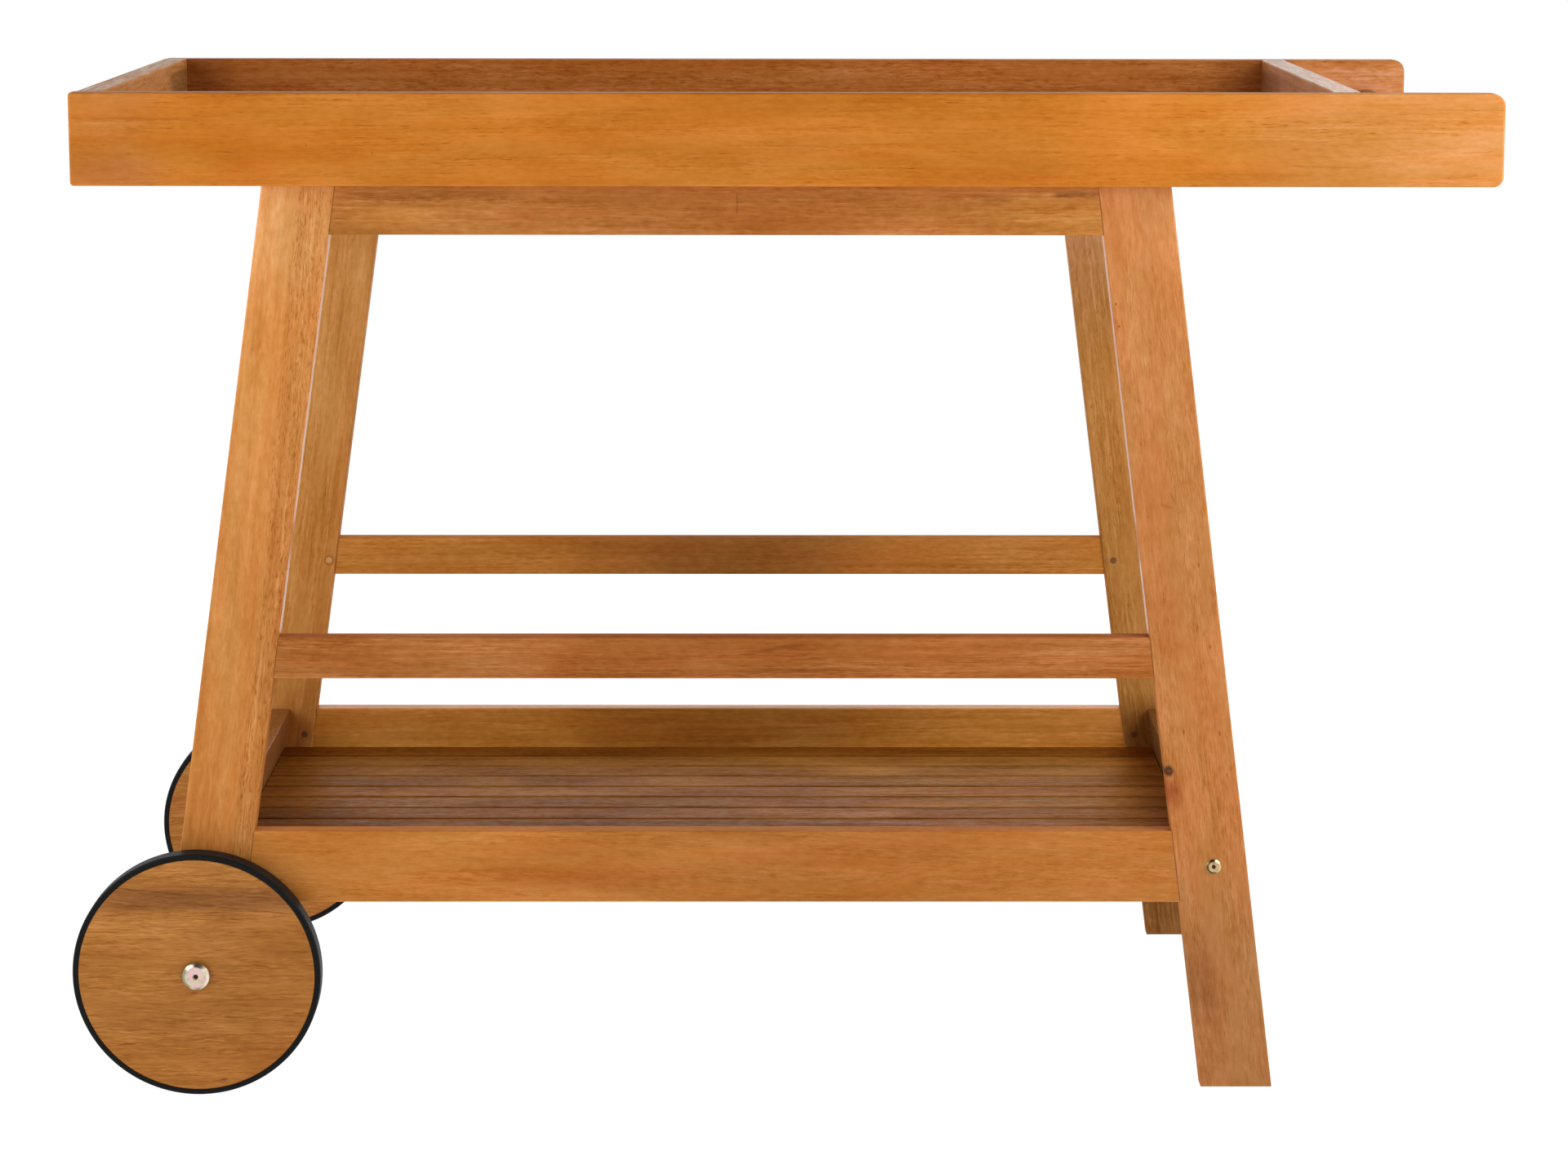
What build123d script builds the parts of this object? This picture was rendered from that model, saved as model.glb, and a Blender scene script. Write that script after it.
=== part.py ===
from build123d import *
import math
import os

os.makedirs("parts", exist_ok=True)

# A wooden bar cart. Millimetres, +Z up, +X towards the handle, front is -Y.
# The origin is under the middle of the whole cart, on the floor.

# ---------------------------------------------------------------- driving sizes
# tray
tray_top = 865.0          # height of the tray's upper edge
rail_h = 78.0             # height of the side rails and end boards
rail_t = 21.0             # thickness of the side rails
tray_half = 284.0         # half of the width over the side rails
rail_ends = {-1: (-592.0, 608.0), 1: (-588.5, 606.5)}   # left and right end of the front (-1) and back (1) side rail
end_t = 22.0              # thickness of the tray's end boards
end_l_x = -588.5          # outer face of the left end board, a little inside the rail ends
end_r_x = 468.5           # inner face of the right end board
rail_r_left = 3.0         # rounding of the rails' corners at the wheel end
arm_r_top = 11.0          # rounding of the arms' upper corners
arm_r_bot = 8.0           # rounding of the arms' lower corners
bar_r = 12.5              # round handle bar
bar_x = 570.0             # its axis, from the origin
bar_drop = 40.5           # its axis, below the rails' upper edge
bar_seat = 10.0           # how far it goes into each arm
t_slat_t = 13.0           # tray floor: slat thickness, width, pitch, number
t_slat_w = 61.0
t_slat_pitch = 66.0
t_slat_n = 8
t_batten_t = 15.0         # cross battens under the floor
t_batten_w = 60.0
groove_d = 8.0            # groove in the end boards that takes the slat ends
tongue_drop = 3.5         # the slat ends are rebated this far to make their tongues

# legs
leg_w = 61.5              # width across the leg, square to its length
leg_t = 22.0              # thickness of a leg
leg_out = 269.0           # outer face of the leg frames, from the middle
splay_l = 0.1425          # sideways run per unit of height, wheel end
splay_r = 0.1289          # the same at the handle end
leg_l_x = -402.8          # middle of the left legs at their top
leg_r_x = 300.2           # middle of the right legs at their top
leg_l_bot = 70.0          # the left legs stop here, below the axle

# rails between the legs
rail2_t = 20.0            # thickness of apron, guard rail and shelf rail
apron_h = 42.0
guard_top, guard_h = 400.0, 36.0
shelf_top, shelf_h = 229.5, 63.0
tenon_len, tenon_t = 22.0, 10.0
peg_r = 3.25

# shelf
sh_end_t = 18.0           # shelf end boards
sh_end_off = 5.0          # their inner face, inwards from the leg's middle line
slat_t, slat_w, slat_pitch, slat_n = 13.0, 39.0, 44.0, 11
slat_top = 193.0
ledger_w = 20.0
sh_bolt_z = 198.2         # bolts from the legs into the shelf end boards
sh_bolt_off = 2.0         # outwards from the leg's middle line
sh_bolt_sink = {-1: 3.0, 1: 0.0}   # heads behind the wheels are let into the leg

# wheels
tyre_r = 107.1
disc_r = 102.1
disc_t = 20.0
disc_out = 291.0          # outer face of the discs, from the middle
axle_x = -501.0
bush_ro, bush_ri = 7.0, 5.05
bush_out = 2.0            # the bush stands out of the disc's outer face, under the bolt's head
axle_r = 5.0              # shoulder of the axle bolt, 0.05 mm free in the bush
thread_r = 4.0

# edge roundings
r_rail, r_end, r_leg, r_slat = 2.0, 1.5, 1.5, 1.0

# ---------------------------------------------------------------- derived
tray_bot = tray_top - rail_h
tray_in = tray_half - rail_t
bar_z = tray_top - bar_drop
floor_bot = tray_bot + t_batten_t
floor_top = floor_bot + t_slat_t
leg_in = leg_out - leg_t
r2_in = leg_out - rail2_t
shelf_bot = shelf_top - shelf_h
slat_bot = slat_top - slat_t
ledger_bot = slat_bot - 13.0
axle_z = tyre_r


def centre(side, z):
    """X of a leg's middle line at height z; side is -1 at the wheels, +1 at the handle."""
    if side < 0:
        return leg_l_x - splay_l * (tray_bot - z)
    return leg_r_x + splay_r * (tray_bot - z)


def half_w(side):
    """Half of a leg's width, measured along X."""
    k = splay_l if side < 0 else splay_r
    return leg_w / 2 * math.sqrt(1 + k * k)


def inner(side, z):
    """X of a leg's edge that faces the middle of the cart."""
    return centre(side, z) - side * half_w(side)


def outer(side, z):
    return centre(side, z) + side * half_w(side)


def low_y(sy, out, t):
    """Lowest Y of a board whose outer face stands out from the middle on side sy."""
    return -out if sy < 0 else out - t


SIDES = (("front", -1), ("back", 1))
ENDS = (("left", -1), ("right", 1))

# heights of the three tenons in each leg, and where the pegs stand
TENONS = (
    (tray_bot - apron_h / 2, 30.0),
    (guard_top - guard_h / 2, 26.0),
    (shelf_top - shelf_h / 2, 45.0),
)
PEG_OFF = {-1: (9.0, 6.5, 9.0), 1: (9.0, 9.5, 10.5)}
PEG_Z = (tray_bot - apron_h / 2, 378.2, 204.0)

# ---------------------------------------------------------------- tray side rails with handle arms
batten_xs = (leg_l_x, (leg_l_x + leg_r_x) / 2, leg_r_x)
for name, sy in SIDES:
    y0 = low_y(sy, tray_half, rail_t)
    y_face = -tray_in if sy < 0 else tray_in          # inner face
    with BuildPart() as tray_rail:
        with BuildSketch(Plane.XZ.offset(-y0)):
            with Locations((sum(rail_ends[sy]) / 2, tray_bot + rail_h / 2)):
                Rectangle(rail_ends[sy][1] - rail_ends[sy][0], rail_h)
            fillet(vertices().group_by(Axis.X)[-1].sort_by(Axis.Y)[-1], radius=arm_r_top)
            fillet(vertices().group_by(Axis.X)[-1].sort_by(Axis.Y)[0], radius=arm_r_bot)
            fillet(vertices().group_by(Axis.X)[0], radius=rail_r_left)
        extrude(amount=-rail_t)
        fillet(edges().filter_by(Axis.Y, reverse=True), radius=r_rail)
        # blind socket for the handle bar
        with Locations(Location((bar_x, y_face + sy * bar_seat / 2, bar_z), (90, 0, 0))):
            Cylinder(bar_r, bar_seat, mode=Mode.SUBTRACT)
        # mortises for the end boards
        for x in (end_l_x + end_t / 2, end_r_x + end_t / 2):
            with Locations((x, y_face + sy * 4.0, tray_bot + rail_h / 2)):
                Box(10.0, 8.0, 46.0, mode=Mode.SUBTRACT)
        # mortises for the cross battens
        for x in batten_xs:
            with Locations((x, y_face + sy * 4.0, tray_bot + t_batten_t / 2)):
                Box(40.0, 8.0, 8.0, mode=Mode.SUBTRACT)
    tray_rail.part.label = f"tray_rail_{name}"
    export_step(tray_rail.part, f"parts/tray_rail_{name}.step")

# ---------------------------------------------------------------- tray end boards
for name, side in ENDS:
    x0 = end_l_x if side < 0 else end_r_x
    with BuildPart() as tray_end:
        with BuildSketch(Plane.XZ.offset(tray_in)):
            with Locations((x0 + end_t / 2, tray_bot + rail_h / 2)):
                Rectangle(end_t, rail_h)
        extrude(amount=-2 * tray_in)
        fillet(edges().filter_by(Axis.Y), radius=r_end)
        # stub tenons into the side rails
        with Locations((x0 + end_t / 2, -tray_in - 3.9, tray_bot + rail_h / 2),
                       (x0 + end_t / 2, tray_in + 3.9, tray_bot + rail_h / 2)):
            Box(10.0, 7.8, 46.0)
        # groove for the tongues of the floor slats, on the face towards the tray
        gx = x0 + end_t - groove_d / 2 if side < 0 else x0 + groove_d / 2
        with Locations((gx, 0, floor_bot + (t_slat_t - tongue_drop + 0.2) / 2)):
            Box(groove_d, 2 * tray_in, t_slat_t - tongue_drop + 0.2, mode=Mode.SUBTRACT)
    tray_end.part.label = f"tray_end_{name}"
    export_step(tray_end.part, f"parts/tray_end_{name}.step")

# ---------------------------------------------------------------- handle bar
with BuildPart() as handle_bar:
    with BuildSketch(Plane.XZ.offset(tray_in + bar_seat - 0.2)):
        with Locations((bar_x, bar_z)):
            Circle(bar_r)
    extrude(amount=-2 * (tray_in + bar_seat - 0.2))
    chamfer(edges().filter_by(GeomType.CIRCLE), length=1.0)
handle_bar.part.label = "handle_bar"
export_step(handle_bar.part, "parts/handle_bar.step")

# ---------------------------------------------------------------- tray floor slats
t_x0 = end_l_x + end_t - groove_d + 0.5
t_x1 = end_r_x + groove_d - 0.5
t_slat_ys = [(i - (t_slat_n - 1) / 2) * t_slat_pitch for i in range(t_slat_n)]
for i, y in enumerate(t_slat_ys):
    with BuildPart() as tray_slat:
        with Locations(((t_x0 + t_x1) / 2, y, floor_bot + t_slat_t / 2)):
            Box(t_x1 - t_x0, t_slat_w, t_slat_t)
        fillet(edges().filter_by(Axis.X), radius=r_slat)
        # the rebates at both ends leave a tongue for the grooves
        for gx in (end_l_x + end_t - groove_d / 2 + 0.3, end_r_x + groove_d / 2 - 0.3):
            with Locations((gx, y, floor_top - tongue_drop / 2)):
                Box(groove_d, t_slat_w, tongue_drop, mode=Mode.SUBTRACT)
        # pilot holes of the screws that come up through the battens
        for x in batten_xs:
            with Locations((x, y, floor_bot + 3.5)):
                Cylinder(2.0, 7.0, mode=Mode.SUBTRACT)
    tray_slat.part.label = f"tray_slat_{i + 1}"
    export_step(tray_slat.part, f"parts/tray_slat_{i + 1}.step")

# ---------------------------------------------------------------- tray cross battens
frame_screw_y = 255.5
FRAME_SCREWS = []
for k, (x, side) in enumerate(((batten_xs[0], -1), (batten_xs[1], 0), (batten_xs[2], 1))):
    spots = (x,) if side == 0 else (x + side * 4.0, x + side * 20.0)
    for sx in spots:
        for sgn in (-1, 1):
            FRAME_SCREWS.append((sx, sgn * frame_screw_y))
for (label, x) in zip(("tray_batten_left", "tray_batten_middle", "tray_batten_right"), batten_xs):
    with BuildPart() as tray_batten:
        with Locations((x, 0, tray_bot + t_batten_t / 2)):
            Box(t_batten_w, 2 * tray_in, t_batten_t)
        fillet(edges().filter_by(Axis.Y), radius=r_slat)
        with Locations((x, -tray_in - 3.9, tray_bot + t_batten_t / 2),
                       (x, tray_in + 3.9, tray_bot + t_batten_t / 2)):
            Box(40.0, 7.8, 8.0)
        # slat screws from below, countersunk
        for y in t_slat_ys:
            with Locations((x, y, tray_bot + t_batten_t / 2)):
                Cylinder(2.0, t_batten_t, mode=Mode.SUBTRACT)
            with Locations((x, y, tray_bot + 1.0)):
                Cone(4.0, 2.0, 2.0, mode=Mode.SUBTRACT)
        # frame screws from above, countersunk
        for fx, fy in FRAME_SCREWS:
            if abs(fx - x) < t_batten_w / 2:
                with Locations((fx, fy, tray_bot + t_batten_t / 2)):
                    Cylinder(2.5, t_batten_t, mode=Mode.SUBTRACT)
                with Locations((fx, fy, floor_bot - 1.25)):
                    Cone(2.5, 5.0, 2.5, mode=Mode.SUBTRACT)
    tray_batten.part.label = label
    export_step(tray_batten.part, f"parts/{label}.step")

# ---------------------------------------------------------------- legs
for yname, sy in SIDES:
    for xname, side in ENDS:
        y0 = low_y(sy, leg_out, leg_t)
        z_bot = leg_l_bot if side < 0 else 0.0
        y_mid = sy * (leg_out - rail2_t / 2)               # middle of the tenons
        with BuildPart() as leg:
            with BuildSketch(Plane.XZ.offset(-y0)):
                with BuildLine():
                    Polyline(
                        (inner(side, tray_bot), tray_bot),
                        (outer(side, tray_bot), tray_bot),
                        (outer(side, z_bot), z_bot),
                        (inner(side, z_bot), z_bot),
                        close=True,
                    )
                make_face()
                if side < 0:
                    fillet(vertices().group_by(Axis.Y)[0], radius=12.0)
            extrude(amount=-leg_t)
            fillet(edges().filter_by(lambda e: e.center().Z < tray_bot - 1.0
                                     and abs(abs(e.center().Y) - abs(leg_out - leg_t / 2)) > 5.0),
                   radius=r_leg)
            # mortises
            for zc, h in TENONS:
                x_in = inner(side, zc)
                with Locations((x_in + side * (tenon_len - 15.0) / 2, y_mid, zc)):
                    Box(tenon_len + 15.0 + 1.0, tenon_t, h, mode=Mode.SUBTRACT)
            # peg holes from the inner face
            for zp, off in zip(PEG_Z, PEG_OFF[side]):
                px = inner(side, zp) + side * off
                with Locations(Location((px, sy * (leg_in + 8.0), zp), (90, 0, 0))):
                    Cylinder(peg_r, 16.0, mode=Mode.SUBTRACT)
            # bore of the shelf bolt
            bx = centre(side, sh_bolt_z) + side * sh_bolt_off
            with Locations(Location((bx, sy * (leg_out - leg_t / 2), sh_bolt_z), (90, 0, 0))):
                Cylinder(3.2, leg_t, mode=Mode.SUBTRACT)
            if side < 0:
                with Locations(Location((bx, sy * (leg_out - sh_bolt_sink[side] / 2), sh_bolt_z), (90, 0, 0))):
                    Cylinder(7.0, sh_bolt_sink[side], mode=Mode.SUBTRACT)
            # bores of the axle bolt and its nut
            if side < 0:
                with Locations(Location((axle_x, sy * (leg_out - leg_t / 2), axle_z), (90, 0, 0))):
                    Cylinder(thread_r + 0.2, leg_t, mode=Mode.SUBTRACT)
                with Locations(Location((axle_x, sy * (leg_in + 6.0), axle_z), (90, 0, 0))):
                    Cylinder(5.5, 12.0, mode=Mode.SUBTRACT)
            # pilot holes of the frame screws
            for fx, fy in FRAME_SCREWS:
                if abs(fx - centre(side, tray_bot)) < leg_w / 2 and fy * sy > 0:
                    with Locations((fx, fy, tray_bot - 17.5)):
                        Cylinder(2.5, 35.0, mode=Mode.SUBTRACT)
        leg.part.label = f"leg_{yname}_{xname}"
        export_step(leg.part, f"parts/leg_{yname}_{xname}.step")

# ---------------------------------------------------------------- aprons, guard rails, shelf side rails
KINDS = (
    ("apron", tray_bot, apron_h, 0),
    ("guard_rail", guard_top, guard_h, 1),
    ("shelf_rail", shelf_top, shelf_h, 2),
)
for yname, sy in SIDES:
    for kname, z1, h, idx in KINDS:
        y0 = low_y(sy, leg_out, rail2_t)
        z0 = z1 - h
        zc, th = TENONS[idx]
        y_mid = sy * (leg_out - rail2_t / 2)
        with BuildPart() as rail:
            with BuildSketch(Plane.XZ.offset(-y0)):
                with BuildLine():
                    Polyline(
                        (inner(-1, z1), z1), (inner(1, z1), z1),
                        (inner(1, z0), z0), (inner(-1, z0), z0),
                        close=True,
                    )
                make_face()
            extrude(amount=-rail2_t)
            fillet(edges().filter_by(Axis.X), radius=r_leg)
            for side in (-1, 1):
                x_in = inner(side, zc)
                with Locations((x_in + side * (tenon_len - 15.0) / 2, y_mid, zc)):
                    Box(tenon_len + 15.0, tenon_t, th)
                zp, off = PEG_Z[idx], PEG_OFF[side][idx]
                px = inner(side, zp) + side * off
                with Locations(Location((px, sy * (leg_in + 8.0), zp), (90, 0, 0))):
                    Cylinder(peg_r, 16.0, mode=Mode.SUBTRACT)
            if idx == 0:
                # pilot hole under the middle batten
                with Locations((batten_xs[1], sy * frame_screw_y, tray_bot - 17.5)):
                    Cylinder(2.5, 35.0, mode=Mode.SUBTRACT)
            if idx == 2:
                # mortise for the middle shelf batten
                with Locations((batten_xs[1], sy * (r2_in + 4.0), slat_bot - 6.5)):
                    Box(30.0, 8.0, 7.0, mode=Mode.SUBTRACT)
        rail.part.label = f"{kname}_{yname}"
        export_step(rail.part, f"parts/{kname}_{yname}.step")

# ---------------------------------------------------------------- shelf end boards
barrel_y = 222.0
led_in_l = centre(-1, slat_bot) + sh_end_off + ledger_w      # inner edges of the ledgers
led_in_r = centre(1, slat_bot) - sh_end_off - ledger_w
ledger_screw_ys = (-198.0, -66.0, 66.0, 198.0)
for xname, side in ENDS:
    k = splay_l if side < 0 else splay_r
    t_x = sh_end_t * math.sqrt(1 + k * k)
    with BuildPart() as shelf_end:
        with BuildSketch(Plane.XZ.offset(leg_in)):
            with BuildLine():
                Polyline(
                    (centre(side, shelf_top) - side * sh_end_off, shelf_top),
                    (centre(side, shelf_top) + side * (t_x - sh_end_off), shelf_top),
                    (centre(side, shelf_bot) + side * (t_x - sh_end_off), shelf_bot),
                    (centre(side, shelf_bot) - side * sh_end_off, shelf_bot),
                    close=True,
                )
            make_face()
        extrude(amount=-2 * leg_in)
        fillet(edges().filter_by(Axis.Y), radius=r_leg)
        bx = centre(side, sh_bolt_z) + side * sh_bolt_off
        for sy in (-1, 1):
            with Locations(Location((bx, sy * (leg_in - 19.0), sh_bolt_z), (90, 0, 0))):
                Cylinder(3.2, 38.0, mode=Mode.SUBTRACT)
            # cross bore of the barrel nut, open to the outside
            with Locations(Location((bx + side * 5.5, sy * barrel_y, sh_bolt_z), (0, 90, 0))):
                Cylinder(5.0, 20.0, mode=Mode.SUBTRACT)
        # pilot holes of the ledger screws
        x_edge = led_in_l if side < 0 else led_in_r
        for y in ledger_screw_ys:
            with Locations(Location((x_edge + side * 24.0, y, slat_bot - 6.5), (0, 90, 0))):
                Cylinder(2.0, 12.0, mode=Mode.SUBTRACT)
    shelf_end.part.label = f"shelf_end_{xname}"
    export_step(shelf_end.part, f"parts/shelf_end_{xname}.step")

# ---------------------------------------------------------------- shelf slats
s_x0 = centre(-1, slat_top) + sh_end_off + 1.0
s_x1 = centre(1, slat_top) - sh_end_off - 1.0
slat_ys = [(i - (slat_n - 1) / 2) * slat_pitch for i in range(slat_n)]
shelf_screw_xs = (led_in_l - ledger_w / 2 + 1.5, batten_xs[1], led_in_r + ledger_w / 2 - 1.5)
for i, y in enumerate(slat_ys):
    with BuildPart() as shelf_slat:
        with Locations(((s_x0 + s_x1) / 2, y, slat_bot + slat_t / 2)):
            Box(s_x1 - s_x0, slat_w, slat_t)
        fillet(edges().filter_by(Axis.X), radius=r_slat)
        for x in shelf_screw_xs:
            with Locations((x, y, slat_bot + 4.5)):
                Cylinder(2.0, 9.0, mode=Mode.SUBTRACT)
    shelf_slat.part.label = f"shelf_slat_{i + 1:02d}"
    export_step(shelf_slat.part, f"parts/shelf_slat_{i + 1:02d}.step")

# ---------------------------------------------------------------- shelf ledgers and middle batten
for xname, side in ENDS:
    x_edge = led_in_l if side < 0 else led_in_r
    with BuildPart() as ledger:
        with BuildSketch(Plane.XZ.offset(leg_in - 2.0)):
            with BuildLine():
                Polyline(
                    (centre(side, slat_bot) - side * sh_end_off, slat_bot),
                    (x_edge, slat_bot),
                    (x_edge, ledger_bot),
                    (centre(side, ledger_bot) - side * sh_end_off, ledger_bot),
                    close=True,
                )
            make_face()
        extrude(amount=-2 * (leg_in - 2.0))
        sx = shelf_screw_xs[0] if side < 0 else shelf_screw_xs[2]
        for y in slat_ys:
            with Locations((sx, y, slat_bot - 6.5)):
                Cylinder(2.0, 13.0, mode=Mode.SUBTRACT)
            with Locations((sx, y, ledger_bot + 1.0)):
                Cone(4.0, 2.0, 2.0, mode=Mode.SUBTRACT)
        # ledger screws go outwards into the end board, heads sunk 8 mm
        for y in ledger_screw_ys:
            with Locations(Location((x_edge + side * 12.0, y, slat_bot - 6.5), (0, 90, 0))):
                Cylinder(2.0, 24.0, mode=Mode.SUBTRACT)
            with Locations(Location((x_edge + side * 4.0, y, slat_bot - 6.5), (0, 90, 0))):
                Cylinder(4.2, 8.0, mode=Mode.SUBTRACT)
            with Locations(Location((x_edge + side * 9.0, y, slat_bot - 6.5), (0, side * 90, 0))):
                Cone(4.0, 2.0, 2.0, mode=Mode.SUBTRACT)
    ledger.part.label = f"shelf_ledger_{xname}"
    export_step(ledger.part, f"parts/shelf_ledger_{xname}.step")

with BuildPart() as shelf_batten:
    with Locations((batten_xs[1], 0, slat_bot - 6.5)):
        Box(40.0, 2 * r2_in, 13.0)
    fillet(edges().filter_by(Axis.Y), radius=r_slat)
    with Locations((batten_xs[1], -r2_in - 3.9, slat_bot - 6.5),
                   (batten_xs[1], r2_in + 3.9, slat_bot - 6.5)):
        Box(30.0, 7.8, 7.0)
    for y in slat_ys:
        with Locations((batten_xs[1], y, slat_bot - 6.5)):
            Cylinder(2.0, 13.0, mode=Mode.SUBTRACT)
        with Locations((batten_xs[1], y, ledger_bot + 1.0)):
            Cone(4.0, 2.0, 2.0, mode=Mode.SUBTRACT)
shelf_batten.part.label = "shelf_batten_middle"
export_step(shelf_batten.part, "parts/shelf_batten_middle.step")

# ---------------------------------------------------------------- wheels
rib_t, rib_d = 6.0, 3.0                     # rib of the tyre, in a groove of the disc
disc_in = disc_out - disc_t
for yname, sy in SIDES:
    y0 = low_y(sy, disc_out, disc_t)
    y_mid = sy * (disc_out - disc_t / 2)
    axle = Axis((axle_x, 0, axle_z), (0, 1, 0))
    with BuildPart() as wheel_disc:
        with BuildSketch(Plane.XZ.offset(-y0)):
            with Locations((axle_x, axle_z)):
                Circle(disc_r)
        extrude(amount=-disc_t)
        chamfer(edges().filter_by(GeomType.CIRCLE), length=0.6)
        with BuildSketch(Plane.XZ.offset(-y_mid + rib_t / 2)):
            with Locations((axle_x, axle_z)):
                Circle(disc_r + 1.0)
                Circle(disc_r - rib_d - 0.1, mode=Mode.SUBTRACT)
        extrude(amount=-rib_t, mode=Mode.SUBTRACT)
        with Locations(Location((axle_x, y_mid, axle_z), (90, 0, 0))):
            Cylinder(bush_ro, disc_t, mode=Mode.SUBTRACT)
    wheel_disc.part.label = f"wheel_disc_{yname}"
    export_step(wheel_disc.part, f"parts/wheel_disc_{yname}.step")

    with BuildPart() as tyre:
        with BuildSketch(Plane.XY.offset(axle_z)):
            with Locations((axle_x + (disc_r + tyre_r) / 2, y_mid)):
                Rectangle(tyre_r - disc_r, disc_t)
            fillet(vertices().group_by(Axis.X)[-1], radius=1.8)
            with Locations((axle_x + disc_r - rib_d / 2 + 0.5, y_mid)):
                Rectangle(rib_d + 1.0, rib_t)
        revolve(axis=axle)
    tyre.part.label = f"tyre_{yname}"
    export_step(tyre.part, f"parts/tyre_{yname}.step")

    with BuildPart() as bush:
        with BuildSketch(Plane.XZ.offset(-low_y(sy, disc_out + bush_out, disc_t + bush_out))):
            with Locations((axle_x, axle_z)):
                Circle(bush_ro)
                Circle(bush_ri, mode=Mode.SUBTRACT)
        extrude(amount=-disc_t - bush_out)
    bush.part.label = f"wheel_bush_{yname}"
    export_step(bush.part, f"parts/wheel_bush_{yname}.step")

    # axle bolt: wide flat head with a bevelled rim, shoulder, thread through the leg
    head_y = disc_out + bush_out + 0.5      # underside of the head
    head_h = 4.5
    with BuildPart() as axle_bolt:
        with BuildSketch(Plane.XY.offset(axle_z)):
            with BuildLine():
                Polyline(
                    (axle_x, sy * (head_y + head_h)),
                    (axle_x + 8.8, sy * (head_y + head_h)),
                    (axle_x + 11.6, sy * (head_y + head_h - 2.0)),
                    (axle_x + 12.0, sy * (head_y + head_h - 2.6)),
                    (axle_x + 12.0, sy * head_y),
                    (axle_x + axle_r, sy * head_y),
                    (axle_x + axle_r, sy * leg_out),
                    (axle_x + thread_r, sy * leg_out),
                    (axle_x + thread_r, sy * (leg_in - 3.0)),
                    (axle_x + thread_r - 1.0, sy * (leg_in - 4.0)),
                    (axle_x, sy * (leg_in - 4.0)),
                    close=True,
                )
            make_face()
        revolve(axis=axle)
        with BuildSketch(Plane.XZ.offset(-sy * (head_y + head_h))):
            with Locations((axle_x, axle_z)):
                RegularPolygon(radius=2.5, side_count=6, major_radius=False)
        extrude(amount=sy * 2.4, mode=Mode.SUBTRACT)
    axle_bolt.part.label = f"axle_bolt_{yname}"
    export_step(axle_bolt.part, f"parts/axle_bolt_{yname}.step")

with BuildPart() as axle_washers:
    for sy in (-1, 1):
        with BuildSketch(Plane.XZ.offset(-sy * leg_out)):
            with Locations((axle_x, axle_z)):
                Circle(11.0)
                Circle(axle_r + 0.1, mode=Mode.SUBTRACT)
        extrude(amount=-sy * 1.5)
axle_washers.part.label = "axle_washers"
export_step(axle_washers.part, "parts/axle_washers.step")

with BuildPart() as axle_nuts:
    for sy in (-1, 1):
        with BuildSketch(Plane.XZ.offset(-sy * leg_in)):
            with Locations((axle_x, axle_z)):
                Circle(11.0)
        extrude(amount=sy * 1.5)
        with BuildSketch(Plane.XZ.offset(-sy * leg_in)):
            with Locations((axle_x, axle_z)):
                Circle(5.5)
        extrude(amount=-sy * 11.8)
        with Locations(Location((axle_x, sy * (leg_in + 5.0), axle_z), (90, 0, 0))):
            Cylinder(thread_r, 16.0, mode=Mode.SUBTRACT)
axle_nuts.part.label = "axle_nuts"
export_step(axle_nuts.part, "parts/axle_nuts.step")

# ---------------------------------------------------------------- shelf bolts and their barrel nuts
with BuildPart() as shelf_bolts:
    for sy in (-1, 1):
        for side in (-1, 1):
            bx = centre(side, sh_bolt_z) + side * sh_bolt_off
            yh = leg_out - sh_bolt_sink[side]           # underside of the head
            with BuildSketch(Plane.XY.offset(sh_bolt_z)):
                with BuildLine():
                    Polyline(
                        (bx, sy * (yh + 2.0)),
                        (bx + 4.9, sy * (yh + 2.0)),
                        (bx + 6.5, sy * (yh + 0.8)),
                        (bx + 6.5, sy * yh),
                        (bx + 3.0, sy * yh),
                        (bx + 3.0, sy * (yh - 54.0)),
                        (bx + 2.2, sy * (yh - 55.0)),
                        (bx, sy * (yh - 55.0)),
                        close=True,
                    )
                make_face()
            revolve(axis=Axis((bx, 0, sh_bolt_z), (0, 1, 0)))
            with BuildSketch(Plane.XZ.offset(-sy * (yh + 2.0))):
                with Locations((bx, sh_bolt_z)):
                    RegularPolygon(radius=2.0, side_count=6, major_radius=False)
            extrude(amount=sy * 1.7, mode=Mode.SUBTRACT)
shelf_bolts.part.label = "shelf_bolts"
export_step(shelf_bolts.part, "parts/shelf_bolts.step")

with BuildPart() as barrel_nuts:
    for sy in (-1, 1):
        for side in (-1, 1):
            bx = centre(side, sh_bolt_z) + side * sh_bolt_off
            with Locations(Location((bx + side * 1.5, sy * barrel_y, sh_bolt_z), (0, 90, 0))):
                Cylinder(4.9, 12.0)
            with Locations(Location((bx, sy * barrel_y, sh_bolt_z), (90, 0, 0))):
                Cylinder(3.0, 12.0, mode=Mode.SUBTRACT)
barrel_nuts.part.label = "barrel_nuts"
export_step(barrel_nuts.part, "parts/barrel_nuts.step")

# ---------------------------------------------------------------- pegs through the tenons
with BuildPart() as joint_pegs:
    for sy in (-1, 1):
        for side in (-1, 1):
            for zp, off in zip(PEG_Z, PEG_OFF[side]):
                px = inner(side, zp) + side * off
                with Locations(Location((px, sy * (leg_in + 7.9), zp), (90, 0, 0))):
                    Cylinder(peg_r, 15.8)
joint_pegs.part.label = "joint_pegs"
export_step(joint_pegs.part, "parts/joint_pegs.step")

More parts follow.
